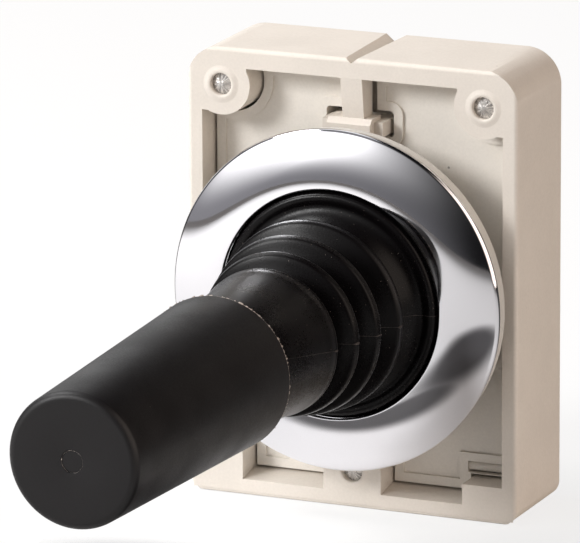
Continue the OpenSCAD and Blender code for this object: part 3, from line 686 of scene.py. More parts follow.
def lips_tree():
    """Moves the points of the boot's outline inwards between the lips.

    The outline lies on the XY plane: X is the radius and Y the height over the panel's back.
    """
    tree, given, result = new_group(
        "Boot lips", "GeometryNodeTree",
        [("Outline", GEOMETRY, None), ("Lips", NUMBER, 4.0), ("First Lip", NUMBER, 0.0133),
         ("Last Lip", NUMBER, 0.027), ("First Fold", NUMBER, 0.0023), ("Spread", NUMBER, 0.9),
         ("Sharpness", NUMBER, 1.2), ("Flat Tips", NUMBER, 0.9), ("Depth", NUMBER, 0.0021)],
        [("Outline", GEOMETRY), ("Wave", NUMBER)],
    )
    value = given.outputs
    place = tree.nodes.new("GeometryNodeInputPosition").outputs[0]
    axes = add(tree, "ShaderNodeSeparateXYZ", {0: place}).outputs
    above = calc(tree, "SUBTRACT", axes["Y"], value["First Lip"])
    span = calc(tree, "SUBTRACT", value["Last Lip"], value["First Lip"])
    part = calc(tree, "MINIMUM", calc(tree, "MAXIMUM", calc(tree, "DIVIDE", above, span), 0.0), 1.0)
    count = calc(tree, "SUBTRACT", value["Lips"], 1.0)
    spread = calc(tree, "POWER", part, calc(tree, "DIVIDE", 1.0, value["Spread"]))
    half_wave = calc(tree, "MULTIPLY", value["First Fold"], 2.0)
    below = calc(tree, "DIVIDE", calc(tree, "MINIMUM", above, 0.0), half_wave)
    phase = calc(tree, "ADD", calc(tree, "MULTIPLY", spread, count), calc(tree, "MAXIMUM", below, -0.5))
    swing = calc(tree, "COSINE", calc(tree, "MULTIPLY", phase, 2 * math.pi))
    wave = calc(tree, "POWER", calc(tree, "MULTIPLY_ADD", swing, 0.5, 0.5), value["Sharpness"])
    round_off = 0.12
    capped = calc(tree, "SMOOTH_MIN", wave, value["Flat Tips"], round_off)
    flat = calc(tree, "DIVIDE", capped, value["Flat Tips"])
    zone = named_value(tree, "lip_zone", "FLOAT")
    inwards = calc(tree, "MULTIPLY", calc(tree, "SUBTRACT", flat, 1.0), value["Depth"])
    offset = add(tree, "ShaderNodeCombineXYZ", {"X": calc(tree, "MULTIPLY", inwards, zone)})
    moved = add(tree, "GeometryNodeSetPosition", {
        "Geometry": value["Outline"], "Offset": offset.outputs[0],
    })
    wire(tree, result.inputs["Outline"], moved.outputs[0])
    wire(tree, result.inputs["Wave"], calc(tree, "MULTIPLY", flat, zone))
    return tree


LIP_INPUTS = [
    "Lips", "First Lip", "Last Lip", "First Fold", "Spread", "Sharpness", "Flat Tips", "Depth",
]


def boot_tree():
    """Turns the boot's outline round the lever's axis and lays the mould's parting line on it."""
    tree, given, result = new_group(
        "Boot", "GeometryNodeTree",
        [("Outline", GEOMETRY, None)] + [(label, NUMBER, 1.0) for label in LIP_INPUTS]
        + [("Segments", WHOLE, 192), ("Path Radius", NUMBER, 0.01), ("Seam", NUMBER, 0.00004),
           ("Tab", NUMBER, 0.00014), ("Drift", NUMBER, 0.16), ("Seed", NUMBER, 3.0),
           ("Rubber", MATERIAL, None), ("Flash", MATERIAL, None)],
        [("Boot", GEOMETRY)],
    )
    value = given.outputs
    lips = tree.nodes.new("GeometryNodeGroup")
    lips.node_tree = bpy.data.node_groups["Boot lips"]
    wire(tree, lips.inputs["Outline"], value["Outline"])
    for label in LIP_INPUTS:
        wire(tree, lips.inputs[label], value[label])
    outline = lips.outputs["Outline"]
    wave = add(tree, "GeometryNodeCaptureAttribute", {"Geometry": outline})
    wave.capture_items.new("FLOAT", "Wave")
    wire(tree, wave.inputs["Wave"], lips.outputs["Wave"])
    outline = wave.outputs["Geometry"]

    # Ring: the outline is swept round a circle, then laid down so that the lever points along -Y
    place = tree.nodes.new("GeometryNodeInputPosition").outputs[0]
    axes = add(tree, "ShaderNodeSeparateXYZ", {0: place}).outputs
    swept = add(tree, "ShaderNodeCombineXYZ", {
        "X": calc(tree, "SUBTRACT", axes["X"], value["Path Radius"]),
        "Y": calc(tree, "MULTIPLY", axes["Y"], -1.0),
    })
    section = add(tree, "GeometryNodeSetPosition", {"Geometry": outline, "Position": swept.outputs[0]})
    section_curve = add(tree, "GeometryNodeMeshToCurve", {"Mesh": section.outputs[0]})
    circle = add(tree, "GeometryNodeCurvePrimitiveCircle", {
        "Resolution": value["Segments"], "Radius": value["Path Radius"],
    })
    upright = add(tree, "GeometryNodeSetCurveNormal", {"Curve": circle.outputs[0]}, mode="Z_UP")
    ring = add(tree, "GeometryNodeCurveToMesh", {
        "Curve": upright.outputs[0], "Profile Curve": section_curve.outputs[0],
    })
    laid = add(tree, "GeometryNodeTransform", {
        "Geometry": ring.outputs[0], "Rotation": (math.pi / 2, 0, 0),
    })
    rubber = painted(tree, laid, value["Rubber"])

    # Parting line: a fine bead on the outer line, thicker where it crosses a lip
    outer = named_value(tree, "outer_line", "BOOLEAN")
    inner = add(tree, "FunctionNodeBooleanMath", {0: outer}, operation="NOT").outputs[0]
    line = add(tree, "GeometryNodeDeleteGeometry", {
        "Geometry": outline, "Selection": inner,
    }, domain="POINT")
    past = calc(tree, "MAXIMUM", calc(tree, "SUBTRACT", axes["Y"], value["Last Lip"]), 0.0)
    upwards = calc(tree, "MULTIPLY", past, value["Drift"])
    outwards = calc(tree, "SQRT", calc(
        tree, "SUBTRACT", calc(tree, "POWER", axes["X"], 2.0), calc(tree, "POWER", upwards, 2.0)
    ))
    seated = add(tree, "ShaderNodeCombineXYZ", {
        "X": outwards, "Y": calc(tree, "MULTIPLY", axes["Y"], -1.0), "Z": upwards,
    })
    line = add(tree, "GeometryNodeSetPosition", {
        "Geometry": line.outputs[0], "Position": seated.outputs[0],
    })
    bead = add(tree, "GeometryNodeMeshToCurve", {"Mesh": line.outputs[0]})
    rough = add(tree, "ShaderNodeTexNoise", {
        "Vector": place, "Scale": 1800.0, "W": value["Seed"],
    }, noise_dimensions="4D").outputs[0]
    narrowness = 30.0
    peak = calc(tree, "POWER", wave.outputs["Wave"], narrowness)
    radius = calc(tree, "MULTIPLY_ADD", peak, value["Tab"], value["Seam"])
    uneven = calc(tree, "MULTIPLY", radius, ramp_between(tree, rough, 0.3, 0.65, 0.25, 1.7))
    thread = add(tree, "GeometryNodeCurvePrimitiveCircle", {"Resolution": 6, "Radius": 1.0})
    bead = add(tree, "GeometryNodeCurveToMesh", {
        "Curve": bead.outputs[0], "Profile Curve": thread.outputs[0], "Scale": uneven,
        "Fill Caps": True,
    })
    other = add(tree, "GeometryNodeTransform", {
        "Geometry": bead.outputs[0], "Rotation": (0, math.pi, 0),
    })
    lines = tree.nodes.new("GeometryNodeJoinGeometry")
    wire(tree, lines.inputs[0], bead.outputs[0])
    wire(tree, lines.inputs[0], other.outputs[0])
    flash = painted(tree, lines, value["Flash"])

    whole = tree.nodes.new("GeometryNodeJoinGeometry")
    wire(tree, whole.inputs[0], flash.outputs[0])
    wire(tree, whole.inputs[0], rubber.outputs[0])
    smooth_faces = add(tree, "GeometryNodeSetShadeSmooth", {"Geometry": whole.outputs[0]})
    real = add(tree, "GeometryNodeRealizeInstances", {"Geometry": smooth_faces.outputs[0]})
    wire(tree, result.inputs["Boot"], real.outputs[0])
    return tree


def outline_mesh(name, before, outer, after):
    """Closed outline of a boot piece, from (radius, height, share of the lips) points.

    The middle list is the outer line, which the parting line follows.
    """
    loop = before + outer + after
    count = len(loop)
    mesh = bpy.data.meshes.new(name)
    edges = [(i, (i + 1) % count) for i in range(count)]
    mesh.from_pydata([(r, h, 0) for r, h, zone in loop], edges, [])
    zone_values = mesh.attributes.new("lip_zone", "FLOAT", "POINT")
    outer_values = mesh.attributes.new("outer_line", "BOOLEAN", "POINT")
    for i, (r, h, zone) in enumerate(loop):
        zone_values.data[i].value = zone
        outer_values.data[i].value = len(before) <= i < len(before) + len(outer)
    return mesh


def inner_line(outer, wall):
    """The inner side of a wall, back along its outer line."""
    return [(r - wall, h, zone) for r, h, zone in reversed(outer)]


def lip_line(size, low, high, steps):
    """Points through the lips' tips between two heights, which the lips tree then folds."""
    points = []
    for k in range(steps + 1):
        h = low + (high - low) * k / steps
        part = min(max((h - size.first_lip) / (size.last_lip - size.first_lip), 0), 1)
        points.append((size.first_r + (size.last_r - size.first_r) * part ** size.draw_in, h, 1.0))
    return points


def curve_between(start, control, end, steps):
    """Points on a smooth bend from start to end, without the end itself."""
    points = []
    for k in range(steps):
        t = k / steps
        r = (1 - t) ** 2 * start[0] + 2 * t * (1 - t) * control[0] + t * t * end[0]
        h = (1 - t) ** 2 * start[1] + 2 * t * (1 - t) * control[1] + t * t * end[1]
        points.append((r, h, 0.0))
    return points


class JOYSTICK_OT_mouldings(bpy.types.Operator):
    """Clamp frame, carrier plate, neck and nut with soft moulded edges"""

    bl_idname = "joystick.mouldings"
    bl_label = "Mouldings"

    def execute(self, context):
        size = settings().mouldings
        cutter = self.notch_cutter(size)
        piece = softened_copy(
            "clamp_frame", "moulded_frame", size.frame_edge, beige_plastic,
            reshape=self.round_corners, cutter=cutter,
        )
        bpy.data.objects.remove(cutter)
        finish_piece(piece, "housing", "beige_plastic", "clamp_frame")
        for node, name, width, maker, slot in (
            ("carrier_plate", "moulded_plate", size.plate_edge, plate_plastic, "beige_plastic"),
            ("neck_body", "moulded_neck", size.neck_edge, pale_plastic, "grey_plastic"),
            ("retaining_nut", "moulded_nut", size.neck_edge, pale_plastic, "grey_plastic"),
        ):
            piece = softened_copy(node, name, width, maker)
            finish_piece(piece, "housing", slot, node)
        return {"FINISHED"}

    def round_corners(self, bm):
        """Moves the outer points of the four corners from the CAD model's arcs to wider ones."""
        size = settings().mouldings
        low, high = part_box("clamp_frame")
        inset = {}
        for vertex in bm.verts:
            row = round(vertex.co.y / MM, 3)
            inset[row] = min(inset.get(row, high.x), high.x - abs(vertex.co.x))
        near = 0.01 * MM
        # Points well inside the old arcs stay where they are
        inner_share = 0.75
        for up, edge, old_r, new_r in (
            (1, high.z, CAD_CORNER_R, size.corner), (-1, low.z, CAD_FOOT_CORNER_R, size.foot_corner),
        ):
            for vertex in bm.verts:
                side = math.copysign(1, vertex.co.x)
                across = abs(vertex.co.x) - (high.x - old_r)
                over = up * (vertex.co.z - edge) + old_r
                reach = math.hypot(across, over)
                if min(across, over) < -near or reach < inner_share * old_r:
                    continue
                end = new_r - inset[round(vertex.co.y / MM, 3)]
                beside = math.sqrt(new_r ** 2 - end ** 2)
                if abs(across - old_r + new_r - end) < near:
                    across, over = end, beside
                elif abs(over - old_r + new_r - end) < near:
                    across, over = beside, end
                else:
                    grow = (new_r - old_r + reach) / reach
                    across, over = across * grow, over * grow
                vertex.co.x = side * (high.x - new_r + across)
                vertex.co.z = edge + up * (over - new_r)

    def notch_cutter(self, size):
        """Wedge that cuts the V notch, deeper towards the rear."""
        low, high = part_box("clamp_frame")
        spare = 1.0 * MM
        slope = (size.notch_rear - size.notch_front) / (high.y - low.y)
        front_y, rear_y = -spare, high.y + spare
        points = []
        for y in (front_y, rear_y):
            bottom = high.z - size.notch_front - slope * y
            tall = high.z + spare - bottom
            wide = tall * math.tan(size.notch_slope)
            points += [(0, y, bottom), (wide, y, bottom + tall), (-wide, y, bottom + tall)]
        mesh = bpy.data.meshes.new("notch_cutter")
        mesh.from_pydata(points, [], [
            (0, 1, 2), (3, 5, 4), (0, 3, 4, 1), (1, 4, 5, 2), (2, 5, 3, 0),
        ])
        return link_object("notch_cutter", mesh)


def screw_mesh(size, shank_r, head_r, low, high):
    """One jack screw, tip at the origin and head behind it, with its own map round the axis."""
    cone_h = (shank_r - size.tip) / math.tan(size.cone)
    profile = [(0.0, 0.0), (size.tip * 0.8, 0.0), (size.tip, -0.03 * MM)]
    rings = max(2, round((shank_r - size.tip) / size.ring_step))
    for k in range(1, rings * 4 + 1):
        part = k / (rings * 4)
        dip = size.ring_depth * (1 - math.cos(2 * math.pi * part * rings)) / 2
        profile.append((size.tip + (shank_r - size.tip) * part - dip, -cone_h * part - dip))
    front, rear, chamfer = low + size.head_h - high, low - high, 0.2 * MM
    profile += [
        (shank_r, -cone_h - 0.1 * MM), (shank_r, front), (head_r - chamfer, front),
        (head_r, front - chamfer), (head_r, rear + chamfer), (head_r - chamfer, rear), (0.0, rear),
    ]
    piece = turned("jack_screw", profile, SMALL_ROUND)
    slot = bpy.data.meshes.new("slot")
    bm = bmesh.new()
    bmesh.ops.create_cube(bm, size=1.0)
    bmesh.ops.scale(bm, verts=bm.verts, vec=(3 * head_r, 2 * size.slot_h, size.slot_w))
    bmesh.ops.translate(bm, verts=bm.verts, vec=(0, high - low, 0))
    bm.to_mesh(slot)
    bm.free()
    cutter = link_object("slot_cutter", slot)
    cut = piece.modifiers.new("Slot", "BOOLEAN")
    cut.object = cutter
    cut.operation = "DIFFERENCE"
    made_plain(piece)
    bpy.data.objects.remove(cutter)
    plan = piece.data.uv_layers.new(name="around")
    for loop in piece.data.loops:
        point = piece.data.vertices[loop.vertex_index].co
        turn = math.atan2(point.z, point.x) / (2 * math.pi) + 0.5
        plan.data[loop.index].uv = (abs(turn - 0.5) * 2, math.hypot(point.x, point.z) / head_r)
    return smooth(piece, 25)


def screws_tree():
    """Puts one screw on each place."""
    tree, given, result = new_group(
        "Screws", "GeometryNodeTree",
        [("Places", GEOMETRY, None), ("Screw", "NodeSocketObject", None), ("Turn", NUMBER, 0.7),
         ("Steel", MATERIAL, None)],
        [("Screws", GEOMETRY)],
    )
    value = given.outputs
    model = add(tree, "GeometryNodeObjectInfo", {"Object": value["Screw"]})
    index = tree.nodes.new("GeometryNodeInputIndex").outputs[0]
    turn = add(tree, "ShaderNodeCombineXYZ", {"Y": calc(tree, "MULTIPLY", index, value["Turn"])})
    placed = add(tree, "GeometryNodeInstanceOnPoints", {
        "Points": value["Places"], "Instance": model.outputs["Geometry"], "Rotation": turn.outputs[0],
    })
    real = add(tree, "GeometryNodeRealizeInstances", {"Geometry": placed.outputs[0]})
    steel = painted(tree, real, value["Steel"])
    wire(tree, result.inputs["Screws"], steel.outputs[0])
    return tree


# Section of the ring round a screw's point: share of its width from the inside, and share of its height
MOUTH_SECTION = (
    (0.0, 0.3), (0.04, 0.6), (0.11, 0.86), (0.19, 0.97), (0.27, 1.0), (0.38, 0.93), (0.5, 0.72),
    (0.65, 0.42), (0.8, 0.17), (0.92, 0.03), (1.0, -0.1),
)


def mouth_mesh(size, shank_r):
    """Soft raised ring round a screw's point, with its foot in the frame."""
    inner, foot = shank_r + 0.04 * MM, -0.8 * MM
    width = size.mouth_r - inner
    profile = [(inner, foot)]
    profile += [(inner + width * part, size.mouth_h * rise) for part, rise in MOUTH_SECTION]
    profile += [(size.mouth_r, foot)]
    return smooth(turned("screw_mouth", profile, SMALL_ROUND), 60)


class JOYSTICK_OT_screws(bpy.types.Operator):
    """Three cone-pointed jack screws, and the soft rings round their points"""

    bl_idname = "joystick.screws"
    bl_label = "Jack screws"

    def execute(self, context):
        size = settings().screws
        low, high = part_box("clamp_screws")
        model = screw_mesh(size, SHANK_R, SCREW_HEAD_R, -high.y, -low.y)
        right = high.x - SCREW_HEAD_R
        top = high.z - SCREW_HEAD_R
        bottom = low.z + SCREW_HEAD_R
        spots = [(-right, top), (right, top), (0, bottom)]
        tree = screws_tree()
        for name, shape, level, turn, maker, slot, nodes in (
            ("jack_screws", model, low.y, 0.9, turned_steel, "steel", ["clamp_screws"]),
            ("screw_mouths", mouth_mesh(size, SHANK_R), 0.0, 0.0, beige_plastic, "beige_plastic", []),
        ):
            places = bpy.data.meshes.new(name)
            places.from_pydata([(x, level, z) for x, z in spots], [], [])
            piece = link_object(name, places)
            nodes_modifier(piece, tree, {"Screw": shape, "Turn": turn, "Steel": material(maker)})
            made_plain(piece)
            bpy.data.objects.remove(shape)
            finish_piece(piece, "housing", slot, *nodes)
        return {"FINISHED"}


class JOYSTICK_OT_bezel(bpy.types.Operator):
    """Domed chrome ring with rolled edges"""

    bl_idname = "joystick.bezel"
    bl_label = "Bezel"

    def execute(self, context):
        size = settings().bezel
        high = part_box("bezel_ring")[1]
        rim_r, base = high.x, -high.y
        width = rim_r - size.open_r
        fall = size.open_rise - size.rim_h
        line = math.hypot(width, fall)
        radius = ((line / 2) ** 2 + size.dome_rise ** 2) / (2 * size.dome_rise)
        sink = radius - size.dome_rise
        centre = (
            size.open_r + width / 2 - sink * fall / line,
            base + (size.open_rise + size.rim_h) / 2 - sink * width / line,
        )
        rim_at = rim_r - size.rim_edge
        open_at = size.open_r + size.open_edge
        start = self.roll(centre, radius, rim_at, size.rim_edge)
        end = self.roll(centre, radius, open_at, size.open_edge)
        rim = (rim_at, centre[1] + (radius - size.rim_edge) * math.sin(math.radians(start)))
        lip = (open_at, centre[1] + (radius - size.open_edge) * math.sin(math.radians(end)))
        profile = [(rim_r - 0.1 * MM, base)]
        profile += arc(rim, size.rim_edge, 0, start, 10)
        profile += arc(centre, radius, start, end, 72)[1:-1]
        profile += arc(lip, size.open_edge, end, 180, 8)
        groove_h, groove_r = lip[1] - 0.3 * MM, size.open_r + size.groove
        groove_w, bevel = 0.16 * MM, 0.04 * MM
        profile += [
            (size.open_r, groove_h), (groove_r, groove_h - bevel),
            (groove_r, groove_h - groove_w + bevel), (size.open_r, groove_h - groove_w),
        ]
        inner = radius - size.wall
        reach = math.degrees(math.acos((size.open_r - centre[0]) / inner))
        foot = math.degrees(math.asin((base - centre[1]) / inner))
        profile += arc(centre, inner, reach, foot, 32)
        piece = smooth(turned("chrome_bezel", profile, FINE_ROUND), 50)
        piece.data.materials.append(material(chrome_plate))
        finish_piece(piece, "housing", "chrome", "bezel_ring")
        return {"FINISHED"}

    def roll(self, centre, radius, at, edge):
        """Where on the dome's arc, in degrees, an edge roll that is centred at a radius touches it."""
        return math.degrees(math.acos((at - centre[0]) / (radius - edge)))


# Bends of the boot's foot, in millimetres: start, control point and end of each, as radius and height
# over the ridge
FOOT_BENDS = (
    ((14.5, -0.7), (14.45, 0.1), (13.8, 0.15)),
    ((13.8, 0.15), (13.4, 0.18), (13.05, 0.0)),
)
# Control point of the slope from there to the first fold, and the foot's wall below the bends
FOOT_SLOPE = (11.6, -0.15)
FOOT_WALL = (14.5, -0.75)
FOOT_WALL_R = 14.55 * MM
# Line from the last lip to the cuff, in millimetres: change of radius and height over the lip
LIP_END = ((0.04, 0.5), (-0.1, 1.2))
# Line of the cuff: radius and height over the panel's back
CUFF_LINE = ((9.05, 29.8), (8.85, 32.5), (8.5, 37.5))
# Rolled end of the cuff: distance inside its radius and below its top
CUFF_END = ((0.0, 1.1), (0.12, 0.5), (0.5, 0.1), (1.2, 0.0))


class JOYSTICK_OT_boot(bpy.types.Operator):
    """Lipped rubber boot, in two pieces that meet in a fold"""

    bl_idname = "joystick.boot"
    bl_label = "Boot"

    def execute(self, context):
        size = settings().boot
        low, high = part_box("bellows")
        base, top = -high.y, -low.y
        bead_r = high.x
        first_fold = size.first_lip - size.first_fold
        part = (1 / (size.lips - 1)) ** size.spread
        second_lip = size.first_lip + (size.last_lip - size.first_lip) * part
        split = (size.first_lip + second_lip) / 2
        ridge = size.ridge_h
        bead_h = 0.7 * MM

        def at(point):
            return point[0] * MM, ridge + point[1] * MM

        foot = [
            (size.foot_r, base, 0.0), (bead_r, base, 0.0), (bead_r, base + bead_h, 0.0),
            (FOOT_WALL_R, base + bead_h, 0.0), (*at(FOOT_WALL), 0.0),
        ]
        lower = []
        for bend in FOOT_BENDS:
            lower += curve_between(*map(at, bend), 8)
        slope_end = (size.first_r - size.depth, first_fold)
        lower += curve_between(at(FOOT_BENDS[-1][-1]), at(FOOT_SLOPE), slope_end, 12)
        lower += lip_line(size, first_fold, split, 34)
        lower_mesh = outline_mesh("boot_lower", foot, lower, inner_line(lower, size.wall))
        self.open_foot(lower_mesh, size)
        cuff_line = [(size.last_r + r * MM, size.last_lip + h * MM) for r, h in LIP_END]
        cuff_line += [(r * MM, h * MM) for r, h in CUFF_LINE]
        cuff_line += [(size.cuff_r - r * MM, top - h * MM) for r, h in CUFF_END]
        upper = lip_line(size, split, size.last_lip, 80)
        upper += [(r, h, 0.0) for r, h in cuff_line]
        spacer_end = top - CUFF_DEPTH
        closed = [(size.bore, top, 0.0), (size.bore, spacer_end, 0.0)]
        inner = inner_line([point for point in upper if point[1] < spacer_end - 0.3 * MM], size.wall)
        upper_mesh = outline_mesh("boot_upper", [], upper, closed + inner)
        lips_tree()
        tree = boot_tree()
        values = {
            "Lips": float(size.lips), "First Lip": size.first_lip, "Last Lip": size.last_lip,
            "First Fold": size.first_fold, "Spread": size.spread, "Sharpness": size.sharp,
            "Flat Tips": size.flat, "Depth": size.depth, "Segments": ROUND, "Seam": size.seam,
            "Tab": size.tab, "Drift": size.drift, "Rubber": material(boot_rubber),
            "Flash": material(parting_line),
        }
        pieces = []
        for name, mesh, seed in (("boot_lower", lower_mesh, 3.0), ("boot_upper", upper_mesh, 8.0)):
            piece = link_object(name, mesh)
            nodes_modifier(piece, tree, values | {"Seed": seed})
            made_plain(piece)
            pieces.append(piece)
        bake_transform(pieces[0])
        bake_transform(pieces[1])
        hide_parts("bellows")
        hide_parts("bellows")
        return {"FINISHED"}

    def open_foot(self, mesh, size):
        """Keeps the inner side of the foot clear of the gate plate."""
        for vertex in mesh.vertices:
            if vertex.index > len(mesh.vertices) // 2 and vertex.co.x > size.foot_r - size.wall:
                vertex.co.x = max(vertex.co.x, size.foot_r)
                vertex.co.y = min(vertex.co.y, size.ridge_h - size.wall)


class JOYSTICK_OT_grip(bpy.types.Operator):
    """Tapered grip with its moulding mark, and the flash on its base"""

    bl_idname = "joystick.grip"
    bl_label = "Grip"

    def execute(self, context):
        size = settings().grip
        low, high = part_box("grip")
        base, end = -high.y, -low.y
        recess_r = size.base_r - size.wall
        side = arc((size.end_r - size.end_edge, end - size.end_edge), size.end_edge, 2, 90, 14)
        bevel = 0.12 * MM
        profile = [(INSERT_R, base + size.recess), (recess_r, base + size.recess), (recess_r, base)]
        profile += [(size.base_r - bevel, base), (size.base_r, base + bevel)]
        steps = 24
        for k in range(1, steps):
            part = k / steps
            profile.append((
                size.base_r + (size.end_r - size.base_r) * part,
                base + (end - size.end_edge - base) * part,
            ))
        profile += side
        mark_floor, mark_middle = end - size.mark_h, end - size.mark_h * 0.8
        hole_end = end - INSERT_DEPTH
        profile += [
            (size.mark_r + 0.2 * MM, end), (size.mark_r + 0.06 * MM, end - 0.02 * MM),
            (size.mark_r - 0.04 * MM, mark_floor), (size.mark_r - 0.14 * MM, mark_floor),
            (0.3 * MM, mark_middle), (0.0, mark_middle), (0.0, hole_end), (INSERT_R, hole_end),
        ]
        piece = smooth(turned("moulded_grip", profile, FINE_ROUND), 40)
        piece.data.materials.append(material(grip_plastic))
        finish_piece(piece, "lever", "grip_plastic", "grip")
        rim_r, rim_h = size.base_r - 0.03 * MM, base + 0.04 * MM
        mark_h, mark_flash = end - 0.08 * MM, size.flash * 0.36
        for name, radius, height, thick, seed, share_left in (
            ("grip_flash", rim_r, rim_h, size.flash, 5, 0.62),
            ("mark_flash", size.mark_r, mark_h, mark_flash, 9, -0.1),
        ):
            line = self.flash_line(name, radius, height, thick, seed, share_left)
            finish_piece(line, "lever", "grip_plastic")
        return {"FINISHED"}

    def flash_line(self, name, radius, height, thick, seed, share_left):
        """Torn line of flash round an edge, of uneven thickness, with more left at the top."""
        bm = bmesh.new()
        segments = 720
        sides = 6
        tears_per_mm = 2.6
        roughness, least, most = 2.4, 0.1, 1.5
        rings = []
        for k in range(segments):
            turn = 2 * math.pi * k / segments
            spot = Vector((math.cos(turn), math.sin(turn), 0)) * radius / MM * tears_per_mm
            wide = noise.fractal(spot + Vector((seed, 0, 0)), 1.0, 2.0, 4)
            left = share_left - 0.5 + 0.5 * math.sin(turn)
            half = thick * min(max(left + roughness * wide, least), most)
            ring = []
            for c in range(sides):
                around = 2 * math.pi * c / sides
                r = radius + half * math.cos(around)
                ring.append(bm.verts.new((
                    r * math.cos(turn), -(height + half * math.sin(around)), r * math.sin(turn)
                )))
            rings.append(ring)
        for k, ring in enumerate(rings):
            following = rings[(k + 1) % segments]
            for c in range(sides):
                bm.faces.new((ring[c], ring[(c + 1) % sides], following[(c + 1) % sides], following[c]))
        bmesh.ops.recalc_face_normals(bm, faces=bm.faces)
        mesh = bpy.data.meshes.new(name)
        bm.to_mesh(mesh)
        bm.free()
        mesh.materials.append(material(mould_flash))
        return smooth(link_object(name, mesh), 60)


def spring_tree():
    """Winds the wire of one compression spring, which reaches forward from its place."""
    tree, given, result = new_group(
        "Spring", "GeometryNodeTree",
        [("Place", GEOMETRY, None), ("Turns", NUMBER, 4.0), ("Coil Radius", NUMBER, 0.001),
         ("Wire Radius", NUMBER, 0.00018), ("Length", NUMBER, 0.004), ("Closed Ends", NUMBER, 0.6),
         ("Steel", MATERIAL, None)],
        [("Spring", GEOMETRY)],
    )
    value = given.outputs
    full_turn = 2 * math.pi
    points_per_turn = 24.0
    straight = tree.nodes.new("GeometryNodeCurvePrimitiveLine")
    points = add(tree, "GeometryNodeResampleCurve", {
        "Curve": straight.outputs[0], "Count": calc(tree, "MULTIPLY", value["Turns"], points_per_turn),
    })
    along = tree.nodes.new("GeometryNodeSplineParameter").outputs["Factor"]
    turn = calc(tree, "MULTIPLY", calc(tree, "MULTIPLY", along, value["Turns"]), full_turn)
    ease = calc(tree, "SINE", calc(tree, "MULTIPLY", along, full_turn))
    eased = calc(tree, "MULTIPLY", ease, calc(tree, "DIVIDE", value["Closed Ends"], full_turn))
    height = calc(tree, "MULTIPLY", calc(tree, "SUBTRACT", along, eased), value["Length"])
    wound = add(tree, "ShaderNodeCombineXYZ", {
        "X": calc(tree, "MULTIPLY", calc(tree, "COSINE", turn), value["Coil Radius"]),
        "Y": calc(tree, "MULTIPLY", height, -1.0),
        "Z": calc(tree, "MULTIPLY", calc(tree, "SINE", turn), value["Coil Radius"]),
    })
    path = add(tree, "GeometryNodeSetPosition", {
        "Geometry": points.outputs[0], "Position": wound.outputs[0],
    })
    section = add(tree, "GeometryNodeCurvePrimitiveCircle", {
        "Resolution": 8, "Radius": value["Wire Radius"],
    })
    wire_mesh = add(tree, "GeometryNodeCurveToMesh", {
        "Curve": path.outputs[0], "Profile Curve": section.outputs[0], "Fill Caps": True,
    })
    placed = add(tree, "GeometryNodeInstanceOnPoints", {
        "Points": value["Place"], "Instance": wire_mesh.outputs[0],
    })
    real = add(tree, "GeometryNodeRealizeInstances", {"Geometry": placed.outputs[0]})
    steel = painted(tree, real, value["Steel"])
    wire(tree, result.inputs["Spring"], steel.outputs[0])
    return tree


class JOYSTICK_OT_springs(bpy.types.Operator):
    """Four compression springs, each reaching from its seat at the rear to its plunger's head"""

    bl_idname = "joystick.springs"
    bl_label = "Plunger springs"

    def execute(self, context):
        size = settings().springs
        tree = spring_tree()
        wire_r = size.wire / 2
        gap = 0.02 * MM
        for side in ("up", "down", "left", "right"):
            low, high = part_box("spring_" + side)
            centre = (low + high) / 2
            seat, head = high.y - wire_r - gap, low.y + wire_r + gap
            place = bpy.data.meshes.new("coil_" + side)
            place.from_pydata([(centre.x, seat, centre.z)], [], [])
            piece = link_object("coil_" + side, place)
            nodes_modifier(piece, tree, {
                "Turns": size.turns, "Coil Radius": (high.x - low.x) / 2 - wire_r,
                "Wire Radius": wire_r, "Length": seat - head, "Closed Ends": size.closed,
                "Steel": material(zinc_steel),
            })
            made_plain(piece)
            smooth(piece, 50)
            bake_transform(piece)
            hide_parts("spring_" + side)
        return {"FINISHED"}


class JOYSTICK_OT_inner_pieces(bpy.types.Operator):
    """Finishes of the CAD pieces that stay as they are"""

    bl_idname = "joystick.inner_pieces"
    bl_label = "Inner pieces"

    makers = {
        "beige_plastic": beige_plastic, "grey_plastic": pale_plastic, "steel": zinc_steel,
        "chrome": chrome_plate, "boot_rubber": boot_rubber, "gasket_rubber": gasket_rubber,
        "grip_plastic": grip_plastic, "inner_plastic": natural_plastic, "brass": machined_brass,
    }

    def execute(self, context):
        for part in frame["record"]["subparts"]:
            node = frame["nodes"][part["node"]]
            finish = material(self.makers[part["material_slot"]])
            if not node.material_slots:
                node.data.materials.append(finish)
            for slot in node.material_slots:
                slot.material = finish
        return {"FINISHED"}


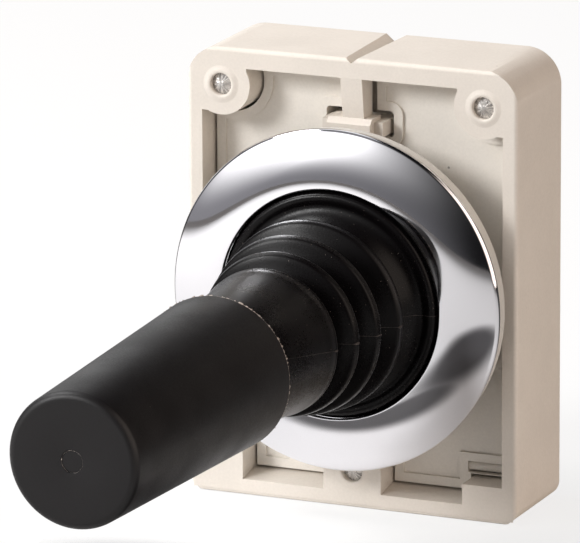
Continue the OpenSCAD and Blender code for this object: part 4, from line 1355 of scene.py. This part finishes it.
class JOYSTICK_OT_stage(bpy.types.Operator):
    """Camera, floor, lamps and the studio that the chrome reflects"""

    bl_idname = "joystick.stage"
    bl_label = "Stage"

    # Angles in degrees between which the studio's lights fade in or out. Heights count from the horizon,
    # the rest from the front to the object's right side, or for the rear from behind to that side.
    left_edge_heights = (0.0, 34.0)
    left_edge = (-31.0, -12.0)
    left_fade = 11
    left_foot = (1.0, 22.0)
    left_top = (42.0, 56.0)
    left_start = (-82.0, -58.0)
    right_start = (38.0, 62.0)
    right_top = (62.0, 40.0)
    right_end = (130.0, 118.0)
    rear_start = (-75.0, -50.0)
    rear_end = (-28.0, -12.0)
    haze_fade = (-42.0, 26.0)
    haze_start = (-92.0, -72.0)
    haze_least = 0.15

    def execute(self, context):
        scene = context.scene
        scene.view_settings.view_transform = "Standard"
        self.camera(scene)
        self.floor()
        self.studio(scene)
        size = settings().stage
        self.lamp(scene, "key_lamp", size.key_power, size.key_size,
                  (size.key_azimuth, size.key_elevation, size.key_distance))
        # Dark card on the floor: a painted shadow of the grip and boot
        self.dark_card()
        self.lamp(scene, "fill_lamp", size.fill_power, size.fill_size,
                  (size.fill_azimuth, size.fill_elevation, size.fill_distance))
        return {"FINISHED"}

    def camera(self, scene):
        size = settings().stage
        flat = math.cos(size.elevation)
        back = Vector((
            math.sin(size.azimuth) * flat, -math.cos(size.azimuth) * flat, math.sin(size.elevation)
        ))
        level = (-back).cross(Vector((0, 0, 1))).normalized()
        upright = level.cross(-back)
        across = level * math.cos(size.roll) + upright * math.sin(size.roll)
        up = upright * math.cos(size.roll) - level * math.sin(size.roll)
        pixel = size.distance * SENSOR_W / size.lens / PHOTO_W
        shift = across * (FRAME_PX[0] - PHOTO_W / 2) * pixel - up * (FRAME_PX[1] - PHOTO_H / 2) * pixel
        target = Vector((0, 0, size.target_z))
        data = bpy.data.cameras.new("camera")
        data.lens = size.lens
        data.sensor_width = SENSOR_W
        data.clip_start = 0.01
        camera = bpy.data.objects.new("camera", data)
        turn = Matrix((across, up, back)).transposed().to_4x4()
        camera.matrix_world = Matrix.Translation(target - shift + back * size.distance) @ turn
        scene.collection.objects.link(camera)
        scene.camera = camera

    def floor(self):
        side = 3.0
        mesh = bpy.data.meshes.new("floor")
        level = CAD_BOX[0][2] - 0.02 * MM
        mesh.from_pydata(
            [(-side, -side, level), (side, -side, level), (side, side, level), (-side, side, level)],
            [], [(0, 1, 2, 3)],
        )
        floor = link_object("floor", mesh)
        paint, tree, shader, place = new_material("Floor")
        shader.inputs["Roughness"].default_value = 0.9
        shader.inputs["Specular IOR Level"].default_value = 0.0
        cloud = add(tree, "ShaderNodeTexNoise", {"Vector": place, "Scale": 3.0})
        pale = mixed(tree, cloud.outputs[0], (0.93, 0.92, 0.915), (0.95, 0.945, 0.94))
        rays = tree.nodes.new("ShaderNodeLightPath").outputs
        # Other rays than the camera's see a floor tone of painted light and shade
        floor_with_painted_falloff = self.floor_tone(tree, place)
        wire(tree, shader.inputs["Base Color"], mixed(tree, rays["Is Camera Ray"], floor_with_painted_falloff, pale))
        plain = add(tree, "ShaderNodeEmission", {"Color": (1, 1, 1, 1), "Strength": 1.0})
        seen = calc(tree, "MAXIMUM", rays["Is Camera Ray"], rays["Is Transmission Ray"])
        white_share = 0.75
        both = add(tree, "ShaderNodeMixShader", {
            0: calc(tree, "MULTIPLY", seen, white_share), 1: shader.outputs[0], 2: plain.outputs[0],
        })
        wire(tree, tree.nodes["Material Output"].inputs["Surface"], both.outputs[0])
        mesh.materials.append(paint)

    def floor_tone(self, tree, place):
        """Grey of the floor for other rays than the camera's, which the chrome mirrors, with painted
        light and shade.

        It is paler at the left and near the object, and darker far away and behind the object: painted
        falloff of light and painted shade.
        """
        axes = add(tree, "ShaderNodeSeparateXYZ", {0: place}).outputs
        away = self.distance(tree, place)
        # Shares of painted light and painted shade in the floor's tone
        left, right, behind, far, near = 0.86, 0.66, 0.15, 0.45, 1.4
        tone = ramp_between(tree, axes["X"], -100 * MM, 0.0, left, right)
        painted_near_light = ramp_between(tree, away, 40 * MM, 95 * MM, near, 1.0)
        tone = calc(tree, "MINIMUM", calc(tree, "MULTIPLY", tone, painted_near_light), left)
        tone = calc(tree, "MULTIPLY", tone, ramp_between(tree, away, 250 * MM, 800 * MM, 1.0, far))
        tone = calc(tree, "MULTIPLY", tone, ramp_between(tree, axes["Y"], 5 * MM, 50 * MM, 1.0, behind))
        return add(tree, "ShaderNodeCombineColor", {0: tone, 1: tone, 2: tone}).outputs[0]

    def distance(self, tree, place):
        return add(tree, "ShaderNodeVectorMath", {0: place}, operation="LENGTH").outputs["Value"]

    def dark_card(self):
        """Dark card with soft ends on the floor under the grip: a painted shadow of the grip and boot,
        which the chrome mirrors as its dark sweep.
        """
        mesh = bpy.data.meshes.new("dark_card")
        level = CAD_BOX[0][2] + 0.3 * MM
        left, right, near, far = -30 * MM, 80 * MM, -22 * MM, -105 * MM
        mesh.from_pydata(
            [(left, near, level), (left, far, level), (right, far, level), (right, near, level)],
            [], [(0, 1, 2, 3)],
        )
        card = link_object("dark_card", mesh)
        cloth, tree, shader, place = new_material("Dark card")
        shader.inputs["Base Color"].default_value = (0.035, 0.033, 0.036, 1)
        shader.inputs["Roughness"].default_value = 0.9
        shader.inputs["Specular IOR Level"].default_value = 0.0
        shadow_masks = []
        # Oval spots of painted shadow in millimetres: place across and forward, half length and width,
        # turn in degrees and darkness
        for x, forward, long, short, turn, dark in (
            (31, 64, 39, 25, -26, 0.7), (-1, 37, 27, 12, -10, 0.66),
        ):
            spot = add(tree, "ShaderNodeMapping", {
                "Vector": place, "Location": (x * MM, -forward * MM, 0),
                "Rotation": (0, 0, math.radians(turn)), "Scale": (long * MM, short * MM, 1),
            }, vector_type="TEXTURE")
            flat = add(tree, "ShaderNodeVectorMath", {
                0: spot.outputs[0], 1: (1, 1, 0),
            }, operation="MULTIPLY")
            shadow_masks.append(ramp_between(tree, self.distance(tree, flat.outputs[0]), 0.55, 1.2, dark, 0.0))
        wire(tree, shader.inputs["Alpha"], calc(tree, "MAXIMUM", *shadow_masks))
        mesh.materials.append(cloth)

    def studio(self, scene):
        """Two soft boxes in a dark room with a pale backdrop; camera rays see plain white."""
        size = settings().stage
        world = bpy.data.worlds.new("studio")
        world.use_nodes = True
        scene.world = world
        tree = world.node_tree
        tree.nodes.clear()
        rays = tree.nodes.new("ShaderNodeLightPath").outputs
        heading = tree.nodes.new("ShaderNodeTexCoord").outputs["Generated"]
        axes = add(tree, "ShaderNodeSeparateXYZ", {0: heading}).outputs
        up = calc(tree, "DEGREES", calc(tree, "ARCSINE", axes["Z"]))
        front = calc(tree, "MULTIPLY", axes["Y"], -1.0)
        round_to = calc(tree, "DEGREES", calc(tree, "ARCTAN2", axes["X"], front))
        edge = ramp_between(tree, up, *self.left_edge_heights, *self.left_edge)
        past = calc(tree, "SUBTRACT", round_to, edge)
        fading = calc(tree, "EXPONENT", calc(tree, "MULTIPLY", past, -1 / self.left_fade))
        left = calc(tree, "MINIMUM", fading, size.box_a)
        left = calc(tree, "MULTIPLY", left, ramp_between(tree, up, *self.left_foot))
        left = calc(tree, "MULTIPLY", left, ramp_between(tree, up, *self.left_top, 1.0, 0.0))
        left = calc(tree, "MULTIPLY", left, ramp_between(tree, round_to, *self.left_start))
        right = calc(tree, "MULTIPLY", ramp_between(tree, round_to, *self.right_start, 0.0, size.box_b),
                     ramp_between(tree, up, *self.right_top))
        from_rear = calc(tree, "DEGREES", calc(tree, "ARCTAN2", axes["X"], axes["Y"]))
        behind = calc(tree, "MULTIPLY", ramp_between(tree, from_rear, *self.rear_start),
                      ramp_between(tree, from_rear, *self.rear_end, 1.0, 0.0))
        right = calc(tree, "MULTIPLY", right, ramp_between(tree, round_to, *self.right_end))
        haze = ramp_between(tree, round_to, *self.haze_fade, size.haze, size.dark)
        haze_foot = ramp_between(tree, round_to, *self.haze_start, self.haze_least, 1.0)
        haze = calc(tree, "MULTIPLY", haze, haze_foot)
        haze = calc(tree, "MULTIPLY_ADD", behind, size.backdrop, haze)
        tone = self.tinted(tree, (1.0, 0.985, 0.97), left)
        for tint, strength in (((1.0, 0.86, 0.76), right), ((0.97, 0.95, 1.0), haze)):
            tone = add(tree, "ShaderNodeVectorMath", {
                0: tone, 1: self.tinted(tree, tint, strength),
            }, operation="ADD").outputs[0]
        room = add(tree, "ShaderNodeBackground", {"Color": tone})
        white = add(tree, "ShaderNodeBackground", {"Color": (1, 1, 1, 1), "Strength": 1.0})
        seen = calc(tree, "MAXIMUM", rays["Is Camera Ray"], rays["Is Transmission Ray"])
        seen = calc(tree, "MAXIMUM", seen, calc(tree, "MULTIPLY", rays["Is Glossy Ray"], behind))
        both = add(tree, "ShaderNodeMixShader", {0: seen, 1: room.outputs[0], 2: white.outputs[0]})
        output = tree.nodes.new("ShaderNodeOutputWorld")
        wire(tree, output.inputs["Surface"], both.outputs[0])

    def tinted(self, tree, tint, strength):
        node = add(tree, "ShaderNodeVectorMath", {0: tint, "Scale": strength}, operation="SCALE")
        return node.outputs[0]

    def lamp(self, scene, name, power, width, place):
        """Square lamp turned to the origin; the place is its azimuth, elevation and distance."""
        azimuth, elevation, distance = place
        level = math.cos(elevation)
        away = Vector((math.sin(azimuth) * level, -math.cos(azimuth) * level, math.sin(elevation)))
        data = bpy.data.lights.new(name, "AREA")
        data.energy = power
        data.size = width
        lamp = bpy.data.objects.new(name, data)
        lamp.location = away * distance
        lamp.rotation_euler = away.to_track_quat("Z", "Y").to_euler()
        scene.collection.objects.link(lamp)


class JoystickSettings(bpy.types.PropertyGroup):
    mouldings: PointerProperty(type=MouldingSizes)
    screws: PointerProperty(type=ScrewSizes)
    bezel: PointerProperty(type=BezelSizes)
    boot: PointerProperty(type=BootSizes)
    grip: PointerProperty(type=GripSizes)
    springs: PointerProperty(type=SpringSizes)
    finishes: PointerProperty(type=Finishes)
    stage: PointerProperty(type=StageSettings)


OPERATORS = (
    JOYSTICK_OT_stage, JOYSTICK_OT_inner_pieces, JOYSTICK_OT_mouldings, JOYSTICK_OT_screws,
    JOYSTICK_OT_bezel, JOYSTICK_OT_boot, JOYSTICK_OT_grip, JOYSTICK_OT_springs,
)


class JOYSTICK_PT_panel(bpy.types.Panel):
    """Buttons for the joystick's pieces"""

    bl_label = "Joystick"
    bl_space_type = "VIEW_3D"
    bl_region_type = "UI"
    bl_category = "Joystick"

    def draw(self, context):
        for operator in OPERATORS:
            self.layout.operator(operator.bl_idname)


CLASSES = (
    MouldingSizes, ScrewSizes, BezelSizes, BootSizes, GripSizes, SpringSizes, Finishes, StageSettings,
    JoystickSettings, *OPERATORS, JOYSTICK_PT_panel,
)


def register():
    for item in CLASSES:
        bpy.utils.register_class(item)
    bpy.types.Scene.joystick = PointerProperty(type=JoystickSettings)


def unregister():
    del bpy.types.Scene.joystick
    for item in reversed(CLASSES):
        bpy.utils.unregister_class(item)


def main():
    register()
    for operator in OPERATORS:
        group, name = operator.bl_idname.split(".")
        getattr(getattr(bpy.ops, group), name)()


if __name__ == "__main__":
    main()
